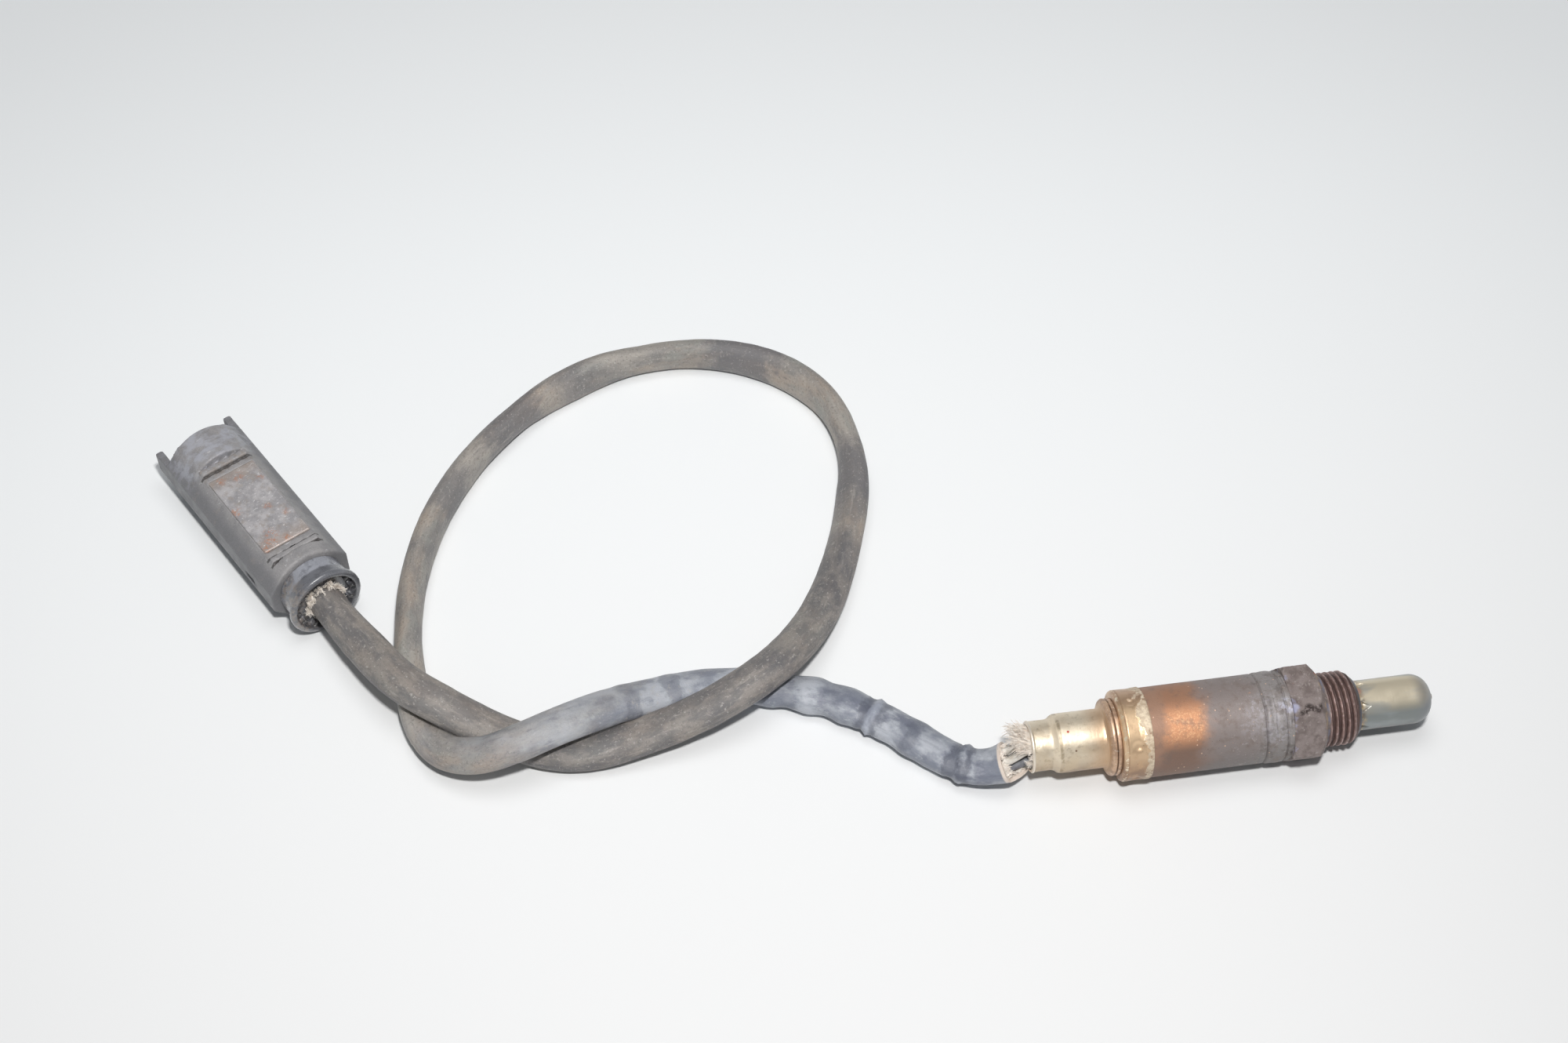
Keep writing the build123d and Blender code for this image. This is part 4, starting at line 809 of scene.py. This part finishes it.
def make_lead():
    """The sleeve, as a cord; returns its mouth's rim and its direction there."""
    along, points = lead_line()
    direction, side, rise = frames(points)
    around = np.linspace(0, 2 * math.pi, LEAD_COLUMNS, endpoint=False)
    # a flattened section, turned by the twist and laid on the floor or on the strand below
    twist = np.radians(np.interp(along, *np.array(SLEEVE_TWIST, float).T))
    kernel = np.hanning(25) / np.hanning(25).sum()
    twist = np.convolve(np.pad(twist, 12, mode="edge"), kernel, mode="valid")
    entry = step(along, LEAD_LENGTH - 26, LEAD_LENGTH - 6)
    wide = SLEEVE_WIDE + (ENTRY_WIDE - SLEEVE_WIDE) * entry
    thin = SLEEVE_THIN + (ENTRY_THIN - SLEEVE_THIN) * entry
    t, phi = around[None, :], twist[:, None]
    across, up = wide[:, None] * np.cos(t), thin[:, None] * np.sin(t)
    level = across * np.cos(phi) - up * np.sin(phi)
    height = across * np.sin(phi) + up * np.cos(phi)
    rest = points[:, 2] - LEAD_DIAMETER / 2 + np.abs(height).max(axis=1)
    middle = np.stack([points[:, 0], points[:, 1], rest], axis=1)
    skin = (middle[:, None] + side[:, None] * level[..., None] + rise[:, None] * height[..., None])
    outward = skin - middle[:, None]
    outward /= np.linalg.norm(outward, axis=2)[..., None]
    # lumps, shrunk ridges, the crease that runs along the top, and three dents
    far = along[:, None]
    swell = 0.16 * lumps(skin, 9, 81, 3) + 0.05 * lumps(skin, 2.2, 83, 2)
    swell += (1 - step(far, 70, 100)) * (0.26 * lumps(skin, 6, 91, 2)
                                         + 0.10 * lumps(skin, 2.6, 93, 2))
    wander = 1.2 * lumps(skin, 5, 97, 1)
    for place, tall, width in SLEEVE_RIDGES:
        swell += tall * hump(far - wander, place, width)
        swell -= 0.5 * tall * hump(far - wander, place + 2.2 * width, width)
    turns = np.repeat(t, len(points), axis=0)
    swell -= (0.30 * hump(angle_from(turns, 108), 0, 0.10) * step(far, 90, 120)
              * (1 - entry[:, None]) * step(lumps(skin, 30, 99, 1), -0.5, 0.1))
    for place, turn_at in ((282, 75), (268, 130), (88, 60)):
        away = np.hypot(far - place, 4.0 * angle_from(turns, turn_at))
        swell -= 0.5 * hump(away, 0, 0.8)
    skin = skin + outward * swell[..., None]
    # the lip at the sensor reaches further underneath than on top
    lower = step(-outward[..., 2], 0.1, 0.98)
    reach = 4.7 * lower * np.clip(1 - far / 6, 0, 1) ** 1.5
    skin = skin + reach[..., None] * np.array([1, 0.05, 0.14])
    skin = skin + outward * (0.5 * np.clip(1 - far / 3, 0, 1) * (1 - lower))[..., None]
    skin[..., 2] = np.maximum(skin[..., 2], FLOOR_Z + 0.01)
    # the mouth at the sensor turns in to a pale, frayed lining
    rim = skin[0]
    inward = rim - middle[0]
    inward = inward - np.outer(inward @ direction[0], direction[0])
    mouth = [rim - inward * share + direction[0] * deep
             for share, deep in ((0.20, 2.2), (0.22, 0.3), (0.10, -0.10))]
    skin = np.concatenate([mouth, skin])
    mesh = grid_mesh("lead_sleeve", skin, caps=True)
    # where each point lies along the unrolled sleeve, for the material
    stations = np.repeat(np.r_[[0] * len(mouth), along], LEAD_COLUMNS)
    turns = np.tile(around, len(skin))
    unrolled = np.stack([stations, SKIN_RADIUS * np.cos(turns), SKIN_RADIUS * np.sin(turns)],
                        axis=1)
    for name, kind, key, values in (("along", "FLOAT", "value", stations),
                                    ("skin", "FLOAT_VECTOR", "vector", unrolled.ravel())):
        mesh.attributes.new(name, kind, "POINT").data.foreach_set(key, values.astype(np.float32))
    lead = add_object("lead", mesh, lead_material(), 70)
    stand_for(lead, "lead_sleeve", "cable_sleeve")
    return rim, direction[0]


# ---- frayed glass fibre ----
def fibre_material():
    return plain_material("glass_fibre", "#FCF6EE", "#ECE0D4", 0.75, 0, 1, 0.05)


def lock(start, heading, strands, length, curl, chance, thick):
    """A tuft of strands that leave together and part at the tips, as twisted wool does."""
    heading = np.array(heading, float) / np.linalg.norm(heading)
    across = np.cross(heading, (0.3, 0.5, 0.8))
    across /= np.linalg.norm(across)
    over = np.cross(heading, across)
    bend_a, bend_b = chance.uniform(-1, 1) * curl, chance.uniform(-1, 1) * curl
    turn = chance.uniform(0, 6.28)
    t = np.linspace(0, 1, 8)[:, None]
    paths = []
    for _ in range(strands):
        a, b = chance.gauss(0, 0.20), chance.gauss(0, 0.20)
        part_a, part_b = chance.gauss(0, 0.32), chance.gauss(0, 0.32)
        own, size = chance.uniform(0, 6.28), chance.uniform(0.75, 1.1) * length
        wave = 0.20 * np.sin(7 * t + turn) + 0.09 * np.sin(15 * t + own)
        places = (np.array(start) + heading * size * t
                  + across * (a + (bend_a + part_a) * size * t * t * 0.5 + wave * t)
                  + over * (b + (bend_b + part_b) * size * t * t * 0.5 + wave * t * 0.7))
        places[:, 2] = np.maximum(places[:, 2], FLOOR_Z + 0.12)
        paths.append((places, chance.uniform(0.6, 1.2) * thick))
    return paths


RIM_X = -70.2


def make_outlet_fibres(mouth_rim, mouth_direction):
    """Fibre that is torn between the outlet's rim and the sleeve's mouth."""
    chance = random.Random(7)
    paths = []
    # short fibre all round in the outlet
    for _ in range(74):
        a = chance.uniform(0, 2 * math.pi)
        r = chance.uniform(4.2, 4.95)
        start = (RIM_X + 0.7, r * math.cos(a), r * math.sin(a))
        slant = chance.gauss(0, 0.35)
        out = (-1, math.cos(a) * 0.10 - math.sin(a) * slant,
               math.sin(a) * 0.10 + math.cos(a) * slant)
        paths += lock(start, out, 11, chance.uniform(1.4, 2.7), 0.7, chance, 0.050)
    # longer fibre that stands out of its top
    for _ in range(46):
        a = math.radians(chance.gauss(92, 22))
        r = chance.uniform(3.9, 4.95)
        start = (RIM_X + 0.6, r * math.cos(a), r * math.sin(a))
        out = (-1, math.cos(a) * 0.15 + 0.16, math.sin(a) * 0.16)
        paths += lock(start, out, 11, chance.uniform(3.4, 6.4), 0.6, chance, 0.075)
    # the lining of the sleeve's mouth
    centre = np.array(LEAD_ROUTE[0])
    for _ in range(70):
        corner = mouth_rim[chance.randrange(len(mouth_rim))]
        start = centre + (corner - centre) * chance.uniform(0.62, 0.84) + mouth_direction * 0.8
        lean = (corner - centre) / np.linalg.norm(corner - centre)
        out = -mouth_direction + lean * chance.gauss(-0.05, 0.22)
        paths += lock(start, out, 9, chance.uniform(1.3, 2.4), 0.7, chance, 0.050)
    fibres = tubes("outlet_fibres", paths, fibre_material())
    stand_for(fibres, "glass_fibre", "outlet_braid")


def make_plug_fibres(end, direction, side, rise):
    """A frayed white ring where the lead enters the plug's rear cap."""
    chance = random.Random(19)
    paths = []
    for _ in range(110):
        a = chance.uniform(0, 2 * math.pi)
        lean = side * math.cos(a) + rise * math.sin(a)
        start = end - direction * chance.uniform(0.2, 1.8) + lean * chance.uniform(4.3, 4.9)
        out = (-direction * chance.uniform(0.4, 1) + lean * chance.gauss(0.25, 0.3)
               + np.cross(direction, lean) * chance.gauss(0, 0.8))
        paths += lock(start, out, 9, chance.uniform(0.9, 1.9), 1.2, chance, 0.05)
    fibres = tubes("plug_fibres", paths, fibre_material())
    stand_for(fibres, "glass_fibre", "connector_braid")
    return fibres


# ---- the plug ----
PLUG_ORIGIN = Vector(LEAD_ROUTE[-1])
PLUG_RUN = PLUG_ORIGIN - Vector(LEAD_ROUTE[-2])
PLUG_AZIMUTH = math.degrees(math.atan2(PLUG_RUN.y, PLUG_RUN.x))


def to_plug(points):
    """Points of the part in the plug's own axes: along it, to its left, and up."""
    a = math.radians(PLUG_AZIMUTH)
    x, y = points[:, 0] - PLUG_ORIGIN.x, points[:, 1] - PLUG_ORIGIN.y
    return np.stack([x * math.cos(a) + y * math.sin(a), y * math.cos(a) - x * math.sin(a),
                     points[:, 2] - PLUG_ORIGIN.z], axis=1)


def housing_material():
    """Dusty black plastic that looks mid grey, with brown dirt in its corners."""
    p = Paint("plug_housing", PLUG_ORIGIN, PLUG_AZIMUTH)
    up = p.ramp(p.z, 4.5, 8)
    p.colour = p.blend(up, "#78787B", "#9A9899")
    p.lay("#747477", p.patches(4, 6, 0.66, 0.4, 0.64, 0.45))
    p.lay("#948E88", p.patches(2.4, 6, 0.7, 0.54, 0.68, 0.4, shift=4))
    fine = p.noise(0.35, 4, 0.7, shift=8)
    p.lay("#686668", p.ramp(fine, 0.5, 0.68, 0, 0.4))
    p.lay("#ACAAAA", p.ramp(fine, 0.42, 0.3, 0, 0.4))
    # the sheen of the bare front end, scuffs, and dirt where the end's wall rises
    p.lay("#ACAEB8", p.ramp(p.x, 45, 50), p.ramp(p.z, 1, 7),
          p.patches(3, 6, 0.7, 0.42, 0.62, stretch=(1, 2.2, 1), shift=12), 0.75)
    p.lay("#C8C7CA", p.patches(0.7, 4, 0.62, 0.64, 0.7, 0.7, stretch=(1, 5, 1), shift=16), up)
    p.lay("#8C8076", p.band(p.x, 45.6, 1.4, 0.8), p.ramp(p.z, 7.3, 7.8),
          p.patches(1.5, 5, 0.65, 0.45, 0.6, 0.5, shift=20))
    # painted shade in the grooves across the top, and a pale line in the shallow one
    for place in (45.1, 9.7, 11.9):
        p.lay("#383432", p.band(p.x, place, 0.28, 0.12), p.ramp(p.z, 7.2, 7.5), 0.8)
    p.lay("#B0AEB0", p.band(p.x, 47.8, 0.5, 0.3), p.ramp(p.z, 6.4, 7.6),
          p.ramp(p.z, 8.3, 8), 0.6)
    height = p.total(p.noise(0.4, 4, 0.7, shift=2), p.noise(1.8, 5, 0.6, shift=5))
    return p.finish(p.ramp(p.noise(3, 4, 0.6, shift=24), 0.35, 0.65, 0.4, 0.54), 0, height, 0.07)


PLATE_TOP, PLATE_MIDDLE = 8.5, 28.6


def plate_material():
    """Zinc plate: grey with white specks, brown stain and spots of orange rust."""
    p = Paint("plug_plate", PLUG_ORIGIN, PLUG_AZIMUTH)
    p.colour = p.blend(p.patches(3.5, 5, 0.6, 0.38, 0.62), "#A6A4A7", "#C4C1C3")
    p.lay("#A69C94", p.patches(2.2, 6, 0.7, 0.5, 0.66, 0.6, shift=3))
    from_middle = p.math("ABSOLUTE", p.math("SUBTRACT", p.x, PLATE_MIDDLE))
    p.lay("#AC9C90", p.ramp(from_middle, 9, 14), 0.55)
    p.lay("#EAE8E9", p.patches(0.5, 5, 0.78, 0.58, 0.64, 0.8, stretch=(1, 2.2, 1), shift=9))
    p.lay("#827C7A", p.patches(0.9, 6, 0.75, 0.58, 0.66, 0.35, shift=39))
    rust = 0.0
    for x, y, size in (
            (40, -0.6, 1), (41.3, 3.6, 0.5), (30, 6, 1.3), (27, -1.7, 0.4),
            (18.6, 2.4, 1.6), (16.4, 3.6, 1.6), (15, 5.6, 1), (15.2, -0.6, 0.5),
            (36.5, -5, 0.3), (22.6, -4.6, 0.3)):
        away = p.distance((x, y, PLATE_TOP))
        rust = p.math("MAXIMUM", rust, p.ramp(away, size + 1.4, size * 0.4))
    p.lay("#BE8C72", rust, p.patches(0.7, 6, 0.75, 0.48, 0.58, shift=6), 0.8)
    p.lay("#D07A4A", p.ramp(rust, 0.6, 1),
          p.patches(0.5, 5, 0.7, 0.55, 0.63, shift=26), 0.9)
    height = p.total(p.noise(0.5, 5, 0.7, shift=1), p.noise(1.6, 4, 0.6, shift=15))
    return p.finish(p.ramp(p.noise(1.6, 4, 0.6, shift=50), 0.35, 0.65, 0.36, 0.54), 0.3,
                    height, 0.09)


def cap_material():
    """Glossy dark cap with a little brown dust."""
    p = Paint("plug_cap", PLUG_ORIGIN, PLUG_AZIMUTH)
    p.colour = p.blend(p.patches(3, 5, 0.6, 0.4, 0.64), "#5C5E65", "#82848C")
    # scratches, a painted highlight on the top, the dark flange, dust and painted shade in the
    # recess
    p.lay("#B0B2BC", p.patches(0.5, 4, 0.65, 0.56, 0.68, 0.6, stretch=(1, 4, 1), shift=9))
    # a painted highlight on the top
    p.lay("#AAADB6", p.ramp(p.z, 5.5, 8),
          p.patches(2.6, 5, 0.62, 0.36, 0.56, shift=31), 0.65)
    p.lay("#525358", p.ramp(p.x, 2.1, 1.5), 0.75)
    p.lay("#8C827A", p.ramp(p.y, 2.5, 7.5),
          p.patches(1.4, 5, 0.65, 0.42, 0.6, 0.7, shift=3))
    # painted shade in the recess
    p.lay("#363434", p.ramp(p.x, -0.9, -1.5), p.ramp(p.off_axis(), 8.4, 8.1), 0.8)
    return p.finish(p.ramp(p.noise(2, 4, 0.6, shift=7), 0.3, 0.7, 0.22, 0.34), 0,
                    p.noise(0.7, 5, 0.65), 0.03, specular=0.9, coat=0.8)


def make_plug():
    """The plug's pieces; returns them."""
    def wear(points):
        dent = 0.05 * lumps(points, 3, 101) + 0.03 * lumps(points, 1, 103, 2)
        points[:, 2] += np.where(to_plug(points)[:, 2] > 7, np.minimum(dent, 0.03), 0)
        points[:, 2] = np.maximum(points[:, 2], FLOOR_Z)
        return points

    def pitting(points):
        top = to_plug(points)[:, 2] > 8.2
        points[:, 2] += np.where(top, 0.05 * lumps(points, 1.5, 111) - 0.06, 0)
        return points

    pieces = []
    for node, name, slot, material, voxel, smoothing, shape in (
            ("connector_housing", "plug_housing", "black_plastic", housing_material, 0.32, 2,
             wear),
            ("rear_cap", "plug_cap", "cap_plastic", cap_material, 0.26, 2, None),
            ("connector_plate", "plug_plate", "bright_steel", plate_material, 0.24, 1,
             pitting)):
        pieces.append(remade(node, name, material(), voxel, smoothing, shape))
        stand_for(pieces[-1], slot, node)
    return pieces


# ---- CAD nodes that are shown as they are ----
INNER_FINISHES = [
    ("inner_tube", "#968C80", "#766C64", 0.45, 0.7, "inner_protection_tube"),
    ("zirconia", "#E2DED2", "#C8C0B2", 0.5, 0, "sensing_element"),
    ("heater", "#D8D6D0", "#B4B0A8", 0.55, 0, "heater_rod"),
    ("talc", "#CECCC6", "#B6B2AA", 0.8, 0, "talc_seal"),
    ("white_ceramic", "#E8E6DE", "#D2CCC0", 0.45, 0,
     "support_bush contact_holder"),
    ("spring_steel", "#B0AEAC", "#92908E", 0.35, 0.85,
     "retaining_ring disc_spring contact_clip_1 contact_clip_2 contact_clip_3 contact_clip_4"),
    ("grommet", "#4E4C4C", "#3A3838", 0.6, 0, "cable_grommet"),
    ("seal", "#965C42", "#7C4A36", 0.5, 0, "wire_seal"),
    ("terminal_block", "#5C5C60", "#4A4A4E", 0.5, 0, "terminal_block"),
    ("terminals", "#CEC8BA", "#A8A092", 0.3, 0.9,
     "connector_pin_1 connector_pin_2 connector_pin_3 connector_pin_4"),
    ("white_wire", "#E2DED6", "#C8C0B4", 0.42, 0,
     "outlet_wire_1 outlet_wire_2 harness_wire_1 harness_wire_2"),
    ("grey_wire", "#84868C", "#68686E", 0.42, 0, "outlet_wire_3 harness_wire_3"),
    ("black_wire", "#3E3C3E", "#2E2C2E", 0.42, 0, "outlet_wire_4 harness_wire_4"),
]


def dress_inner_nodes():
    for name, colour, other, roughness, metal, nodes in INNER_FINISHES:
        material = plain_material(name, colour, other, roughness, metal)
        for node in nodes.split():
            mesh = NODES[node].data
            mesh.materials.clear()
            mesh.materials.append(material)
            mesh.shade_smooth()
            mesh.set_sharp_from_angle(angle=math.radians(35))


# ---- the floor and the sky ----
SHEET_HALF = 4.0                        # metres
SHEET_MIDDLE = (-130, 70, 0)
FADE_START, FADE_END = 290, 500         # where the sheet turns into backdrop, from its middle


def floor_material():
    """Near-white sheet that keeps the object's shadow and stays pale far from the lamps."""
    p = Paint("sheet")
    # painted shade: the sheet is darker towards the front (-Y) and lighter behind
    p.colour = p.blend(p.ramp(p.y, -80, 220), "#ECEDEE", "#F9FCFE")
    far = p.ramp(p.distance(SHEET_MIDDLE), FADE_START, FADE_END)
    p.mix_shaders(p.both(p.background_rays(), far), p.shader(0.7, specular=0.2),
                  p.add("Emission", BACKDROP).outputs[0], p.surface)
    return p.material


def make_world():
    """Dim sky that, as a background and in reflections, is pale near the horizon."""
    world = bpy.data.worlds.new("studio")
    world.use_nodes = True
    w = Nodes(world.node_tree)
    w.tree.nodes.clear()
    height = w.add("SeparateXYZ", w.add("TexCoord").outputs["Generated"]).outputs["Z"]
    low = w.ramp(height, 0.08, 0.32, 1, 0)
    w.mix_shaders(w.both(w.background_rays(), low),
                  w.add("Background", (0.94, 0.97, 1, 1), 0.16).outputs[0],
                  w.add("Background", BACKDROP).outputs[0],
                  w.add("OutputWorld").inputs["Surface"])
    bpy.context.scene.world = world


def make_floor():
    mesh = bpy.data.meshes.new("sheet")
    h = SHEET_HALF
    mesh.from_pydata([(-h, -h, 0), (h, -h, 0), (h, h, 0), (-h, h, 0)], [], [(0, 1, 2, 3)])
    floor = bpy.data.objects.new("sheet", mesh)
    floor.location.z = (FLOOR_Z - 0.03) * MM
    bpy.context.scene.collection.objects.link(floor)
    mesh.materials.append(floor_material())


def main():
    add_camera()
    add_light()
    make_world()
    make_floor()
    make_sensor()
    dress_inner_nodes()
    plug_pieces = make_plug()
    _, points = lead_line()
    along, side, rise = frames(points)
    plug_fibres = make_plug_fibres(points[-1], along[-1], side[-1], rise[-1])
    inside = [NODES[f"{stem}_{i}"] for stem in ("connector_pin", "harness_wire")
              for i in range(1, 5)]
    inside += [NODES["wire_seal"], NODES["terminal_block"]]
    make_outlet_fibres(*make_lead())


main()
